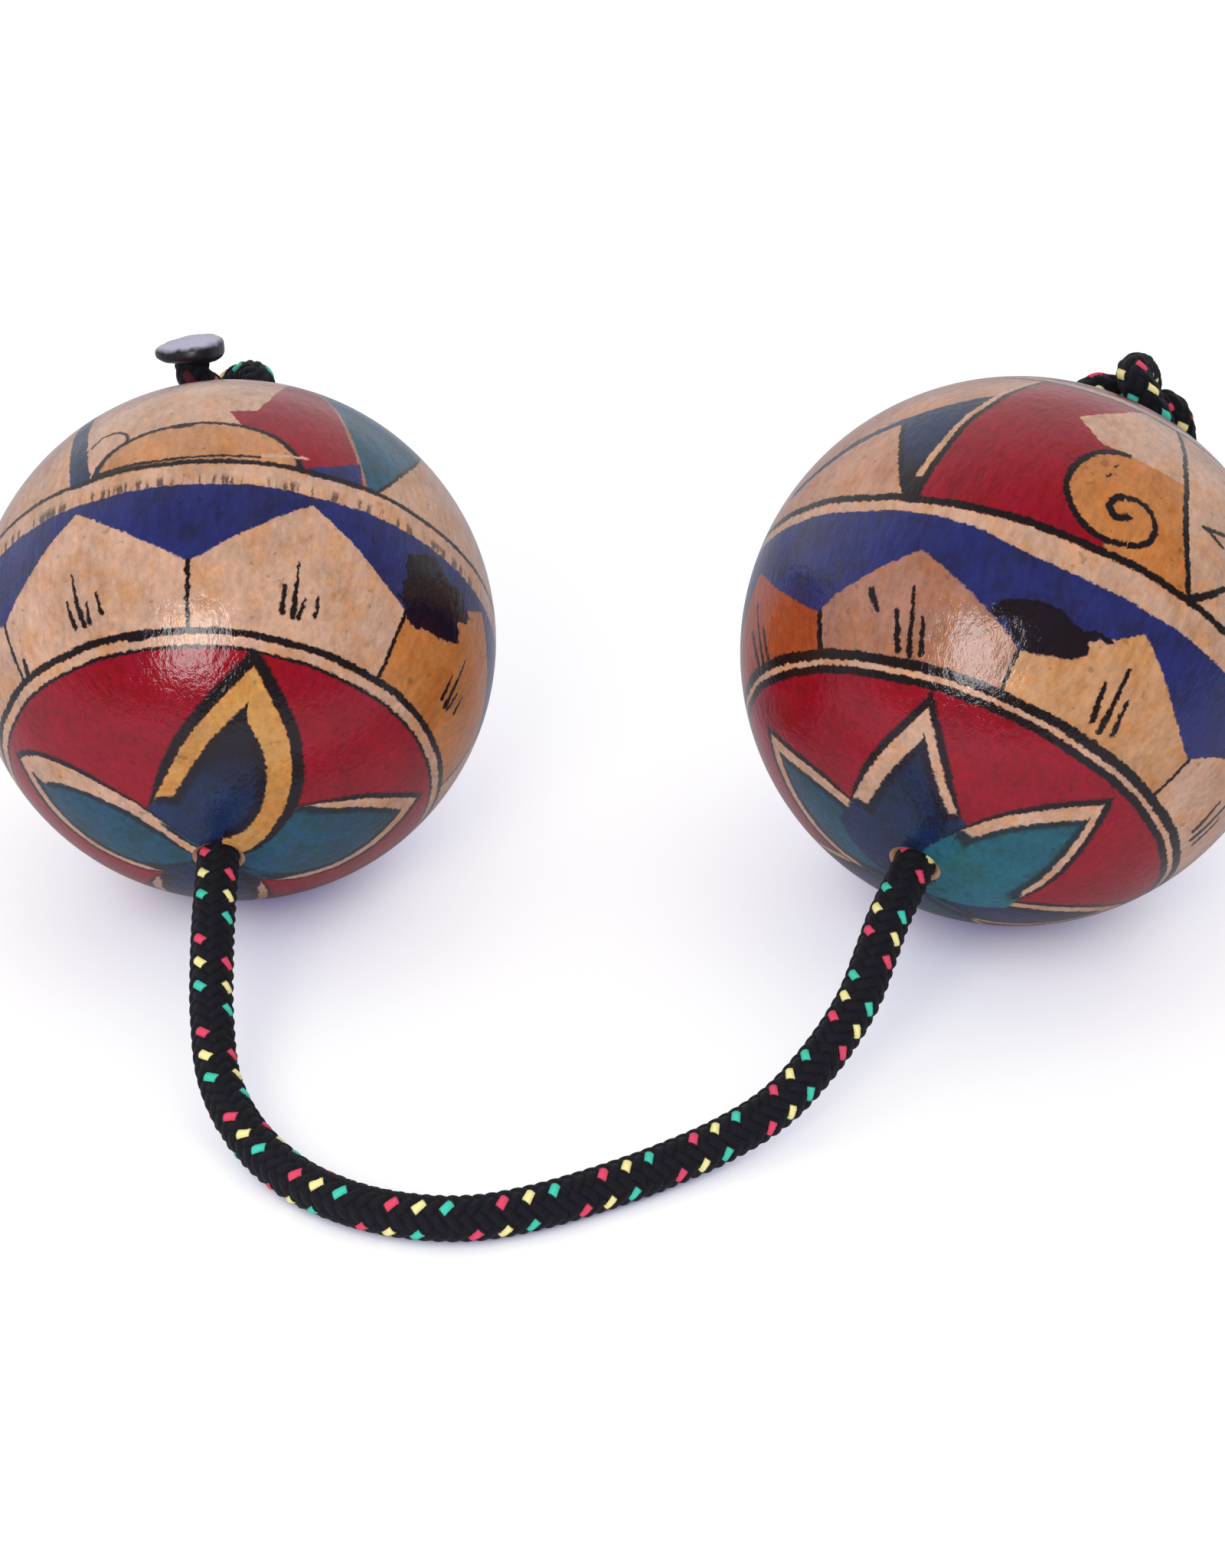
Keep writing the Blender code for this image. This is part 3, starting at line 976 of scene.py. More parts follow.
@dataclass
class BatikFinish:
    """Wax-resist dye under glossy varnish on one ball."""

    side: Side
    pattern: BatikPattern
    centre: Vector
    radius: float
    hole_frame: Matrix
    book: PatternBook

    # Depth in degrees of the hand's wobble and of the ragged wax
    WOBBLE = 1.6
    RAG = 1.5
    # Turn at which the cap's ring lies at its plain fall
    DRIFT_TURN = 10.0
    # Grain, seed and reach of the black patch's ragged edge, and how well it covers
    PATCH_GRAIN = (0.09, 0.16)
    PATCH_SEED = 3.0
    SPILL_REACH = (26.0, 9.0)
    PATCH_COVER = 0.96
    # The smaller flower round the rear hole
    REAR_SHRINK = 0.72
    REAR_EDGE = 140.0
    REAR_RINGS = ((138.6, 2.0, Dye.TAN), (136.4, 0.5, Dye.LINE), (140.8, 0.5, Dye.LINE))
    # Grain, seed and threshold of the belt's ticks, and the turns over which the belt swells
    TICK_GRAIN = (0.75, 0.06)
    TICK_SEED = 7.0
    TICK_FADE = (0.50, 0.60)
    SWELL_FADE = (55.0, 25.0)
    # Half the turn that one of the three repeats behind the belt takes
    HALF_REPEAT = 60.0
    # Depths under the sphere between which paint gives way to bare wood
    BARE_DEPTH = (0.00016, 0.00008)
    # How well the shade inside a petal's outline and the honey stains cover
    SHADE_COVER = 0.8
    STAIN_COVER = 0.8

    def make(self) -> bpy.types.Material:
        """Build the ball's material.

        Returns:
            The finished material.
        """
        material, graph, shader = blank_finish(f"{self.side.value}_batik_varnish")
        place = self.painted_place(graph)
        angles = graph.use(self.book.angles, Place=place, Wobble=self.WOBBLE, Rag=self.RAG)
        fall, turn = angles["Fall"], angles["Turn"]
        mottling = graph.use(self.book.mottle, Place=place)
        colour = self.paint_petals(graph, fall, turn, Dye.RED.value, 1.0)
        colour = self.band(graph, fall, turn, colour)
        colour = self.crown(graph, fall, turn, colour)
        colour = self.age(graph, mottling, colour)
        colour = self.bare_wood(graph, place, colour)
        graph.plug(shader.inputs["Base Color"], colour)
        shader.inputs["IOR"].default_value = 1.50
        graph.plug(shader.inputs["Roughness"], mottling["Grain"] * 0.10 + 0.06)
        graph.raise_surface(shader, mottling["Clouds"] * 0.6 + mottling["Fibres"] * 0.5, 0.6, 0.0003)
        return material

    def painted_place(self, graph: Graph) -> Field:
        """Surface points in the frame of the painted pole, in metres from the ball's centre."""
        frame = self.hole_frame @ Matrix.Rotation(math.radians(self.pattern.tilt), 3, "X")
        mapping = graph.node("ShaderNodeMapping", vector_type="TEXTURE")
        graph.plug(mapping.inputs["Vector"], graph.place())
        mapping.inputs["Location"].default_value = self.centre
        mapping.inputs["Rotation"].default_value = frame.to_euler()
        return Field(graph, mapping.outputs[0])

    def stroke(self, graph: Graph, fall: Field, turn: Field, stroke: Stroke) -> Field:
        """Mask of one straight brush stroke."""
        (from_turn, from_fall, from_half), (to_turn, to_fall, to_half) = stroke.start, stroke.stop
        return graph.use(
            self.book.brush, Fall=fall, Turn=turn, From_Turn=from_turn, From_Fall=from_fall, To_Turn=to_turn,
            To_Fall=to_fall, From_Half=from_half, To_Half=to_half,
        )["Line"]

    def round_stroke(self, graph: Graph, fall: Field, turn: Field, sweep: Arc) -> Field:
        """Mask of one round brush stroke."""
        return graph.use(
            self.book.arc, Fall=fall, Turn=turn, Centre_Turn=sweep.turn, Centre_Fall=sweep.fall,
            Radius=sweep.radius, Start=sweep.start, Sweep=sweep.sweep, First_Half=sweep.first,
            Last_Half=sweep.last,
        )["Line"]

    def stripe(self, graph: Graph, turn: Field, centre: Value, half: Value) -> Field:
        """A brush line down the ball, given by its turn and half width in degrees."""
        return graph.ramp(abs(turn - centre), half + EDGE, half - EDGE)

    def step(self, graph: Graph, value: Field, edge: Value) -> Field:
        """Mask of where a value lies past an edge."""
        return graph.ramp(value, edge - EDGE, edge + EDGE)

    def paint_petals(self, graph: Graph, fall: Field, turn: Field, colour: Paint, shrink: float) -> Field:
        """Lay the petals over a ground.

        Args:
            graph: The material's graph.
            fall: Degrees from the pole that the petals grow from.
            turn: Degrees round it.
            colour: The ground.
            shrink: Length of the petals as a share of the front ones.

        Returns:
            The painted colour.
        """
        for leaf in self.pattern.petals:
            sides = {}
            for name, half in (("Left", leaf.left), ("Right", leaf.right)):
                sides[f"{name}_Lean"] = half.lean * shrink
                sides[f"{name}_Curl"] = half.curl * shrink
                sides[f"{name}_Reach"] = half.reach
                sides[f"{name}_Limit"] = half.limit
                sides[f"{name}_Outline"] = half.outline * shrink
                sides[f"{name}_Taper"] = half.taper
            masks = graph.use(
                self.book.petal, Fall=fall, Turn=turn, Tip_Turn=leaf.turn, Tip_Fall=leaf.fall * shrink,
                Rim=leaf.rim * shrink, **sides,
            )
            colour = graph.mix(masks["Rim"], colour, Dye.LINE.value)
            colour = graph.mix(masks["Body"], colour, leaf.wax.value)
            colour = graph.mix(masks["Fill"], colour, leaf.dye.value)
            colour = graph.mix(masks["Tip"] * leaf.dark_tip, colour, Dye.LINE.value)
            colour = graph.mix(masks["Shade"] * self.SHADE_COVER, colour, Dye.LINE.value)
        return colour

    def rings(
        self, graph: Graph, fall: Field, colour: Field, rings: Sequence[tuple[Value, Value, Dye]]
    ) -> Field:
        """Lay painted rings over a colour.

        Args:
            graph: The material's graph.
            fall: Degrees from the pole.
            colour: What is there already.
            rings: Centre, half width and dye of each ring.

        Returns:
            The painted colour.
        """
        for centre, half, dye in rings:
            mask = graph.use(self.book.ring, Fall=fall, Centre=centre, Half_Width=half)["Ring"]
            colour = graph.mix(mask, colour, dye.value)
        return colour

    def band(self, graph: Graph, fall: Field, turn: Field, colour: Field) -> Field:
        """Navy band with wax hills, and the rings between it and the petals.

        Args:
            graph: The material's graph.
            fall: Degrees from the painted pole.
            turn: Degrees round it.
            colour: The painted cap.

        Returns:
            The painted colour.
        """
        row = self.pattern.hills
        masks = graph.use(
            self.book.hills, Fall=fall, Turn=turn, Phase=row.phase, Period=360.0 / row.count,
            Shoulder=row.shoulder, Tip=row.tip, Tip_Shift=row.tip_shift, Bulge=row.bulge,
            Bulge_Step=row.bulge_step, Crowd=row.crowd, Crowd_Turn=row.crowd_turn,
        )
        wax: Paint = Dye.TAN.value
        for number, dye in row.dyes:
            wax = graph.mix(abs(masks["Number"] - float(number)).below(0.5), wax, dye.value)
        black_patch = self.black_patch_mask(graph, fall, turn)
        hills = masks["Hill"] * (1.0 - black_patch * row.patch_over_hills)
        valley = graph.mix(black_patch * self.PATCH_COVER, Dye.NAVY.value, Dye.LINE.value)
        band = graph.mix(hills, valley, wax)
        band = graph.mix(masks["Divider"], band, Dye.LINE.value)
        for stroke in row.strokes:
            band = graph.mix(self.stroke(graph, fall, masks["Swing"], stroke), band, Dye.LINE.value)
        drift = graph.math("SINE", graph.math("RADIANS", turn - self.DRIFT_TURN)) * self.pattern.cap_drift
        colour = graph.mix(self.step(graph, fall + drift, self.pattern.cap_edge), colour, band)
        colour = self.rings(graph, fall + drift, colour, self.pattern.cap_rings)
        for mark in self.pattern.marks:
            colour = graph.mix(self.stroke(graph, fall, turn, mark), colour, Dye.LINE.value)
        return colour

    def black_patch_mask(self, graph: Graph, fall: Field, turn: Field) -> Field:
        """Mask of the black patch in the band, with its ragged edge."""
        across, down, wide, deep = self.pattern.hills.black_patch
        turn_grain, fall_grain = self.PATCH_GRAIN
        turn_reach, fall_reach = self.SPILL_REACH
        grains = graph.vector(turn * turn_grain, fall * fall_grain, self.PATCH_SEED)
        spread = graph.noise(grains, 1.0, 3.0) - 0.5
        return graph.use(
            self.book.oval, Fall=fall + spread * fall_reach, Turn=turn + spread * turn_reach,
            Centre_Turn=across, Centre_Fall=down, Half_Turn=wide, Half_Fall=deep, Line=0.4,
        )["Inside"]

    def crown(self, graph: Graph, fall: Field, turn: Field, colour: Field) -> Field:
        """The belt, the ornament behind it and the flower round the rear hole.

        Args:
            graph: The material's graph.
            fall: Degrees from the painted pole.
            turn: Degrees round it.
            colour: The painted front.

        Returns:
            The painted colour.
        """
        if self.side is Side.LEFT:
            ornament = self.half_moons(graph, fall, turn)
        else:
            ornament = self.curls(graph, fall, turn)
        flower = self.paint_petals(graph, 180.0 - fall, turn, Dye.RED.value, self.REAR_SHRINK)
        ornament = graph.mix(self.step(graph, fall, self.REAR_EDGE), ornament, flower)
        ornament = self.rings(graph, fall, ornament, self.REAR_RINGS)
        belt = self.pattern.belt
        colour = graph.mix(self.step(graph, fall, belt.centre), colour, ornament)
        swell = graph.ramp(abs(turn - belt.swell_turn), *self.SWELL_FADE) * belt.swell
        colour = self.rings(graph, fall, colour, ((belt.centre - swell, belt.half + swell, Dye.TAN),))
        turn_grain, fall_grain = self.TICK_GRAIN
        streaks = graph.noise(graph.vector(turn * turn_grain, fall * fall_grain, self.TICK_SEED), 1.0, 1.0)
        front_half = graph.ramp(fall, belt.centre + 0.6, belt.centre - 1.2)
        inner = front_half * self.step(graph, fall, belt.centre - belt.half)
        ticks = graph.ramp(streaks, *self.TICK_FADE) * inner * belt.ticks
        colour = graph.mix(ticks, colour, Dye.LINE.value)
        return self.rings(graph, fall, colour, ((belt.line, belt.line_half, Dye.LINE),))

    def half_moons(self, graph: Graph, fall: Field, turn: Field) -> Field:
        """Half moons between red and teal fields, three times round the ball.

        Args:
            graph: The material's graph.
            fall: Degrees from the painted pole.
            turn: Degrees round it.

        Returns:
            The painted colour.
        """
        foot = 94.0
        turn = turn.wrap(-self.HALF_REPEAT, self.HALF_REPEAT)
        down = fall - foot
        moon = graph.use(
            self.book.oval, Fall=fall, Turn=turn, Centre_Turn=-3.5, Centre_Fall=foot,
            Half_Turn=22.0, Half_Fall=12.2, Line=0.45,
        )
        hook = graph.ramp(down, 16.8, 17.8)
        red_edge = (12.5 - 0.6 * down) * (1.0 - hook) + (9.0 + 0.4 * (down - 18.0)) * hook
        far_edge = 32.0 - 0.17 * (down - 6.0)
        pale_edge = 36.0 + 0.75 * down
        colour = graph.mix(self.step(graph, turn, red_edge), Dye.TAN.value, Dye.RED.value)
        colour = graph.mix(self.step(graph, turn, far_edge), colour, Dye.TEAL.value)
        colour = graph.mix(self.stripe(graph, turn, far_edge, 0.45), colour, Dye.ROSE.value)
        colour = graph.mix(self.step(graph, turn, pale_edge), colour, Dye.TAN.value)
        colour = graph.mix(self.stripe(graph, turn, pale_edge, 0.5), colour, Dye.LINE.value)
        colour = graph.mix(self.stripe(graph, turn, -29.0 - 0.32 * down, 2.5), colour, Dye.SLATE.value)
        slant = 0.5 * (turn - 21.0) + 95.0
        corner = self.step(graph, turn, 20.5) * graph.ramp(fall, slant + 0.2, slant - 0.2)
        colour = graph.mix(corner * turn.below(32.0), colour, Dye.NAVY.value)
        loop = Arc(-24.1, 102.6, 4.8, 198.0, 186.0, 0.4, 0.4)
        colour = graph.mix(self.round_stroke(graph, fall, turn, loop), colour, Dye.LINE.value)
        colour = graph.mix(moon["Inside"], colour, Dye.HONEY.value)
        colour = graph.mix(moon["Line"], colour, Dye.LINE.value)
        for stroke, dye in (
            (Stroke((-25.0, 94.6, 0.5), (10.0, 95.4, 0.3)), Dye.LINE),
            (Stroke((10.5, 96.0, 0.5), (20.0, 97.2, 0.35)), Dye.TAN),
            (Stroke((-8.5, 105.6, 0.8), (-5.5, 105.7, 0.8)), Dye.LINE),
        ):
            colour = graph.mix(self.stroke(graph, fall, turn, stroke), colour, dye.value)
        return colour

    def curls(self, graph: Graph, fall: Field, turn: Field) -> Field:
        """Spiral curls between red, teal and tan fields, three times round the ball.

        Args:
            graph: The material's graph.
            fall: Degrees from the painted pole.
            turn: Degrees round it.

        Returns:
            The painted colour.
        """
        middle = 6.0
        turn = (turn - middle).wrap(-self.HALF_REPEAT, self.HALF_REPEAT) + middle
        down = fall - 89.0
        rise = fall - 95.0
        crest = 110.2 + 0.58 * (turn + 27.0)
        wedge_edge = -14.6 - 0.56 * down
        stripe = -13.7 + 0.08 * rise + 0.0033 * rise * rise
        fold = 38.3 + 8.2 * graph.math("EXPONENT", (fall - 90.0) * -0.07)
        under_crest = graph.ramp(fall, crest + EDGE, crest - EDGE)
        wedge = self.step(graph, turn, wedge_edge) * under_crest
        # The ground behind the belt is tan darkened by painted shade
        colour = graph.mix(graph.ramp(abs(fall - crest - 1.2), 1.6, 1.0), Dye.TAN_IN_SHADE.value, Dye.SLATE.value)
        colour = graph.mix(wedge, colour, Dye.SLATE.value)
        colour = graph.mix(wedge * graph.ramp(down, 16.0, 3.0), colour, Dye.LINE.value)
        colour = graph.mix(self.stripe(graph, turn, wedge_edge, 0.7) * under_crest, colour, Dye.LINE.value)
        colour = graph.mix(self.step(graph, turn, stripe + 1.5), colour, Dye.RED.value)
        colour = graph.mix(self.stripe(graph, turn, stripe + 1.5, 0.8), colour, Dye.LINE.value)
        pale_stripe = self.stripe(graph, turn, stripe, 0.75) * self.step(graph, fall, 94.6)
        colour = graph.mix(pale_stripe, colour, Dye.TAN.value)
        disc = graph.use(
            self.book.oval, Fall=fall, Turn=turn, Centre_Turn=26.1, Centre_Fall=103.0,
            Half_Turn=11.2, Half_Fall=11.2, Line=0.5,
        )["Inside"]
        beyond = self.step(graph, turn, 26.0)
        colour = graph.mix(disc.at_least(beyond), colour, Dye.AMBER.value)
        pale = self.step(graph, turn - abs(fall - 121.0), 11.8) * self.step(graph, fall, 114.3)
        colour = graph.mix(pale, colour, Dye.TAN.value)
        colour = graph.mix(self.step(graph, turn, fold), colour, Dye.TAN.value)
        colour = graph.mix(self.stripe(graph, turn, fold, 0.75), colour, Dye.LINE.value)
        for sweep in (
            Arc(26.94, 100.16, 2.35, 26.0, 246.0, 0.85, 0.8),
            Arc(29.58, 97.94, 5.36, 242.0, 198.0, 0.6, 0.8),
            Arc(26.1, 103.0, 11.2, 68.0, 200.0, 0.7, 0.75),
        ):
            colour = graph.mix(self.round_stroke(graph, fall, turn, sweep), colour, Dye.LINE.value)
        for stroke in (
            Stroke((47.5, 90.2, 0.9), (53.6, 96.8, 0.6)),
            Stroke((45.7, 106.6, 0.5), (50.9, 108.4, 0.7)),
            Stroke((47.0, 106.6, 0.5), (51.3, 105.2, 0.5)),
            Stroke((22.0, 105.8, 0.35), (22.6, 106.8, 0.3)),
            Stroke((22.9, 109.0, 0.3), (23.3, 109.8, 0.25)),
        ):
            colour = graph.mix(self.stroke(graph, fall, turn, stroke), colour, Dye.LINE.value)
        return colour

    def age(self, graph: Graph, mottling: dict[str, Field], colour: Field) -> Field:
        """Honey stains, uneven dye and pores over the painted colour."""
        stain = mottling["Stain"] * self.STAIN_COVER
        colour = graph.mix(stain, colour, graph.soak(colour, Dye.STAIN.value))
        patchy = mottling["Clouds"] * 0.7 + mottling["Grain"] * 0.4 + mottling["Fibres"] * 0.8 + 0.05
        return graph.mix(mottling["Specks"] * 0.3, graph.tint(colour, patchy), Dye.LINE.value)

    def bare_wood(self, graph: Graph, place: Field, colour: Field) -> Field:
        """Unpainted wood wherever the surface dips under the varnished sphere, as in the holes."""
        size = graph.node("ShaderNodeVectorMath", operation="LENGTH")
        graph.plug(size.inputs[0], place)
        depth = Field(graph, size.outputs["Value"])
        bare, covered = self.BARE_DEPTH
        painted = graph.ramp(depth, self.radius - bare, self.radius - covered)
        wood = graph.tint(Dye.WOOD.value, graph.noise(place, 900.0, 3.0) * 0.5 + 0.7)
        return graph.mix(painted, wood, colour)


# Braid, melted end and seeds


@dataclass(frozen=True)
class BraidFinish:
    """Black braid with red, yellow and green tracer yarns."""

    ground: Colour = linear(18, 16, 25)
    red: Colour = linear(214, 66, 98)
    yellow: Colour = linear(232, 220, 150)
    green: Colour = linear(62, 190, 165)

    def make(self, book: PatternBook) -> bpy.types.Material:
        """Build the braid's material.

        Args:
            book: The shared node groups.

        Returns:
            The finished material.
        """
        material, graph, shader = blank_finish("tracer_braid")
        chart = graph.node("ShaderNodeUVMap", uv_map=BRAID_MAP)
        braided = graph.use(book.braid, Map=Field(graph, chart.outputs["UV"]))
        colour: Paint = self.ground
        for name, dye in (("Red", self.red), ("Yellow", self.yellow), ("Green", self.green)):
            colour = graph.mix(braided[name], colour, dye)
        scorch = Field(graph, graph.node("ShaderNodeAttribute", attribute_name=SCORCH).outputs["Fac"])
        colour = graph.mix(scorch * 0.9, colour, self.ground)
        # Painted shade: the braid's colour darkens in the grooves between yarns by yarn height, with random
        # fibre tone on top
        groove_shade_and_fibres = braided["Height"] * 0.55 + braided["Fibres"] * 0.5 + 0.3
        colour = graph.tint(colour, groove_shade_and_fibres)
        graph.plug(shader.inputs["Base Color"], colour)
        graph.plug(shader.inputs["Roughness"], 0.85 - braided["Fibres"] * 0.25)
        shader.inputs["Specular IOR Level"].default_value = 0.22
        shader.inputs["Sheen Weight"].default_value = 0.05
        graph.raise_surface(shader, braided["Fibres"] + braided["Height"], 0.5, 0.00015)
        return material


@dataclass(frozen=True)
class GrainFinish:
    """A plain material with cloudy colour and a fine bump."""

    name: str
    dark: Colour
    pale: Colour
    scale: float
    roughness: float
    bump: float

    def make(self) -> bpy.types.Material:
        """Build the material.

        Returns:
            The finished material.
        """
        material, graph, shader = blank_finish(self.name)
        clouds = graph.noise(graph.place(), self.scale, 3.0, 0.6)
        graph.plug(shader.inputs["Base Color"], graph.mix(graph.ramp(clouds, 0.3, 0.7), self.dark, self.pale))
        graph.plug(shader.inputs["Roughness"], clouds * 0.3 + (self.roughness - 0.15))
        graph.raise_surface(shader, clouds, self.bump, 0.0004)
        return material


@dataclass(frozen=True)
class MeltedFinish:
    """Nylon that was melted shut: black, with a painted reflection of the pale surround on its top."""

    dark: Colour = linear(24, 22, 32)
    # Pale lilac grey of the white surround, painted on the bead's top as its reflection
    pale: Colour = linear(172, 166, 188)

    def make(self) -> bpy.types.Material:
        """Build the material.

        Returns:
            The finished material.
        """
        material, graph, shader = blank_finish("melted_nylon")
        lumps = graph.noise(graph.place(), 700.0, 2.0)
        chart = graph.node("ShaderNodeUVMap", uv_map=BEAD_MAP)
        _, height, _ = graph.parts(Field(graph, chart.outputs["UV"]))
        # Painted reflection: the upper part of the bead is mixed towards the pale surround colour
        painted_top_reflection = graph.ramp(height + (lumps - 0.5) * 0.2, 0.58, 0.74)
        graph.plug(shader.inputs["Base Color"], graph.mix(painted_top_reflection, self.dark, self.pale))
        graph.plug(shader.inputs["Roughness"], lumps * 0.3 + 0.2)
        graph.raise_surface(shader, lumps, 0.3, 0.0003)
        return material


DRY_SEED = GrainFinish("dry_seed", linear(44, 26, 16), linear(104, 66, 38), 700.0, 0.5, 0.4)


# Lines and braided tubes

# Points on each span of a smooth line, and the spacing of an evened line
CURVE_STEPS = 24
LINE_STEP = 0.001


def smooth_line(points: Sequence[Vector]) -> list[Vector]:
    """Close points on one smooth curve through all the given points.

    Args:
        points: The points to pass through.

    Returns:
        The line.
    """
    padded = [2 * points[0] - points[1], *points, 2 * points[-1] - points[-2]]
    line = [points[0]]
    for before, start, stop, after in zip(padded, padded[1:], padded[2:], padded[3:]):
        leave = start + (stop - before) / 6
        arrive = stop - (after - start) / 6
        line += interpolate_bezier(start, leave, arrive, stop, CURVE_STEPS)[1:]
    return line


def even_line(line: Sequence[Vector], step: float) -> list[Vector]:
    """Evenly spaced points on a line.

    Args:
        line: Close points on the line.
        step: Distance to aim for.

    Returns:
        The new points, with both ends kept.
    """
    lengths = [0.0]
    for a, b in zip(line, line[1:]):
        lengths.append(lengths[-1] + (b - a).length)
    count = max(2, round(lengths[-1] / step))
    points = []
    index = 0
    for number in range(count + 1):
        goal = lengths[-1] * number / count
        while index < len(line) - 2 and lengths[index + 1] < goal:
            index += 1
        span = max(lengths[index + 1] - lengths[index], 1e-9)
        points.append(line[index].lerp(line[index + 1], min(1.0, (goal - lengths[index]) / span)))
    return points


def line_length(line: Sequence[Vector]) -> float:
    """Length of a line of points."""
    return sum((b - a).length for a, b in zip(line, line[1:]))


def braid_height(turn: float, pitch: float) -> float:
    """Height of the braid's yarns, the same rule as the braid node group's.

    Args:
        turn: Share of a turn round the cord.
        pitch: Braid pitches along it.

    Returns:
        Zero in a groove to one on a yarn's crown.
    """
    first = YARNS_EACH_WAY * (pitch - turn)
    second = YARNS_EACH_WAY * (pitch + turn)
    lane = math.floor(first)
    cross = math.floor(second)
    if (lane - cross) % 4 < 2:
        across = first - lane
        along = ((second - lane + 1) % 4) / 2
    else:
        across = second - cross
        along = ((first - cross - 2) % 4) / 2
    crown = math.sqrt(max(0.0, 1 - (2 * across - 1) ** 2))
    rise = math.sqrt(max(0.0, math.sin(math.pi * min(along, 1.0))))
    return crown * (YARN_DIVE + (1 - YARN_DIVE) * rise)


@dataclass
class BraidEnd:
    """Where one braided tube stops, so that the next one can carry its yarns on."""

    normal: Vector
    pitch: float


@dataclass
class BraidedTube:
    """One closed length of braid along a line, with yarns in relief and a map for their colours."""

    name: str
    line: list[Vector]
    radius: float
    start: BraidEnd
    forward: bool = True
    twist: float = 0.0
    step: float = 0.00022
    sides: int = 60
    relief: float = 0.00042
    round_start: bool = True
    round_stop: bool = True
    scorched: float = 0.0

    # Rings of a rounded end and the angle that they span
    ROUND_STEPS = 7
    ROUND_ANGLE = math.radians(86.0)
    # Height of a yarn that lies at the tube's plain radius
    CROWN_SHARE = 0.62
    # Share of the scorched length over which the scorch fades
    SCORCH_FADE = 0.25

    def sections(self) -> list[tuple[Vector, Vector, float, float]]:
        """Rings of the tube.

        Returns:
            Centre, direction, radius factor and distance along the line of each ring.
        """
        points = even_line(self.line, self.step)
        spacing = line_length(points) / (len(points) - 1)
        rows = []
        for number, point in enumerate(points):
            ahead = points[min(number + 1, len(points) - 1)]
            behind = points[max(number - 1, 0)]
            rows.append((point, (ahead - behind).normalized(), 1.0, number * spacing))
        first, last = rows[0], rows[-1]
        head, tail = [], []
        for number in range(1, self.ROUND_STEPS + 1):
            angle = self.ROUND_ANGLE * number / self.ROUND_STEPS
            out = self.radius * math.sin(angle)
            factor = math.cos(angle)
            head.insert(0, (first[0] - first[1] * out, first[1], factor, first[3] - out))
            tail.append((last[0] + last[1] * out, last[1], factor, last[3] + out))
        return (head if self.round_start else []) + rows + (tail if self.round_stop else [])

    def build(self) -> tuple[bpy.types.Object, BraidEnd]:
        """Make the tube's mesh.

        Returns:
            The object, and where its braid stops.
        """
        sign = 1.0 if self.forward else -1.0
        rows = self.sections()
        total = rows[-1][3]
        verts, maps, burns = [], [], []
        normal = self.start.normal
        end_normal = normal
        for centre, direction, factor, distance in rows:
            normal = (normal - direction * normal.dot(direction)).normalized()
            side = normal.cross(direction) * sign
            pitch = self.start.pitch + sign * distance / BRAID_PITCH
            extra = self.twist * max(0.0, min(1.0, distance / total))
            for number in range(self.sides):
                turn = number / self.sides
                angle = math.tau * turn + extra
                height = braid_height(turn, pitch)
                reach = (self.radius + self.relief * (height - self.CROWN_SHARE)) * factor
                verts.append(centre + (normal * math.cos(angle) + side * math.sin(angle)) * reach)
                maps.append((turn, pitch))
            burns += [self.burn(total - distance)] * self.sides
            end_normal = normal * math.cos(extra) + side * math.sin(extra)
        item = self.to_object(verts, maps, len(rows))
        scorch = item.data.attributes.new(SCORCH, "FLOAT", "POINT")
        scorch.data.foreach_set("value", burns)
        stop = self.start.pitch + sign * line_length(self.line) / BRAID_PITCH
        return item, BraidEnd(end_normal, stop)

    def burn(self, left: float) -> float:
        """How scorched the braid is at a distance from its last end, zero to one."""
        if self.scorched <= 0.0:
            return 0.0
        return max(0.0, min(1.0, (self.scorched - left) / (self.SCORCH_FADE * self.scorched)))

    def to_object(
        self, verts: list[Vector], maps: list[tuple[float, float]], rows: int
    ) -> bpy.types.Object:
        """Join the rings into one closed mesh with its braid map.

        Args:
            verts: Points of all rings.
            maps: Turn and pitch at each point.
            rows: Number of rings.

        Returns:
            The new object.
        """
        sides = self.sides
        faces = []
        for row in range(rows - 1):
            for number in range(sides):
                after = (number + 1) % sides
                low, high = row * sides, (row + 1) * sides
                faces.append((low + number, low + after, high + after, high + number))
        faces.append(tuple(range(sides - 1, -1, -1)))
        faces.append(tuple(range((rows - 1) * sides, rows * sides)))
        if self.forward:
            faces = [tuple(reversed(face)) for face in faces]
        mesh = bpy.data.meshes.new(self.name)
        mesh.from_pydata(verts, [], faces)
        chart = mesh.uv_layers.new(name=BRAID_MAP)
        for polygon in mesh.polygons:
            corners = [maps[mesh.loops[loop].vertex_index] for loop in polygon.loop_indices]
            wraps = max(c[0] for c in corners) - min(c[0] for c in corners) > 0.5 and len(corners) == 4
            for loop, (turn, pitch) in zip(polygon.loop_indices, corners):
                chart.data[loop].uv = (turn + 1.0 if wraps and turn < 0.5 else turn, pitch)
        mesh.shade_smooth()
        item = bpy.data.objects.new(self.name, mesh)
        bpy.context.collection.objects.link(item)
        return item


# Sub-assemblies


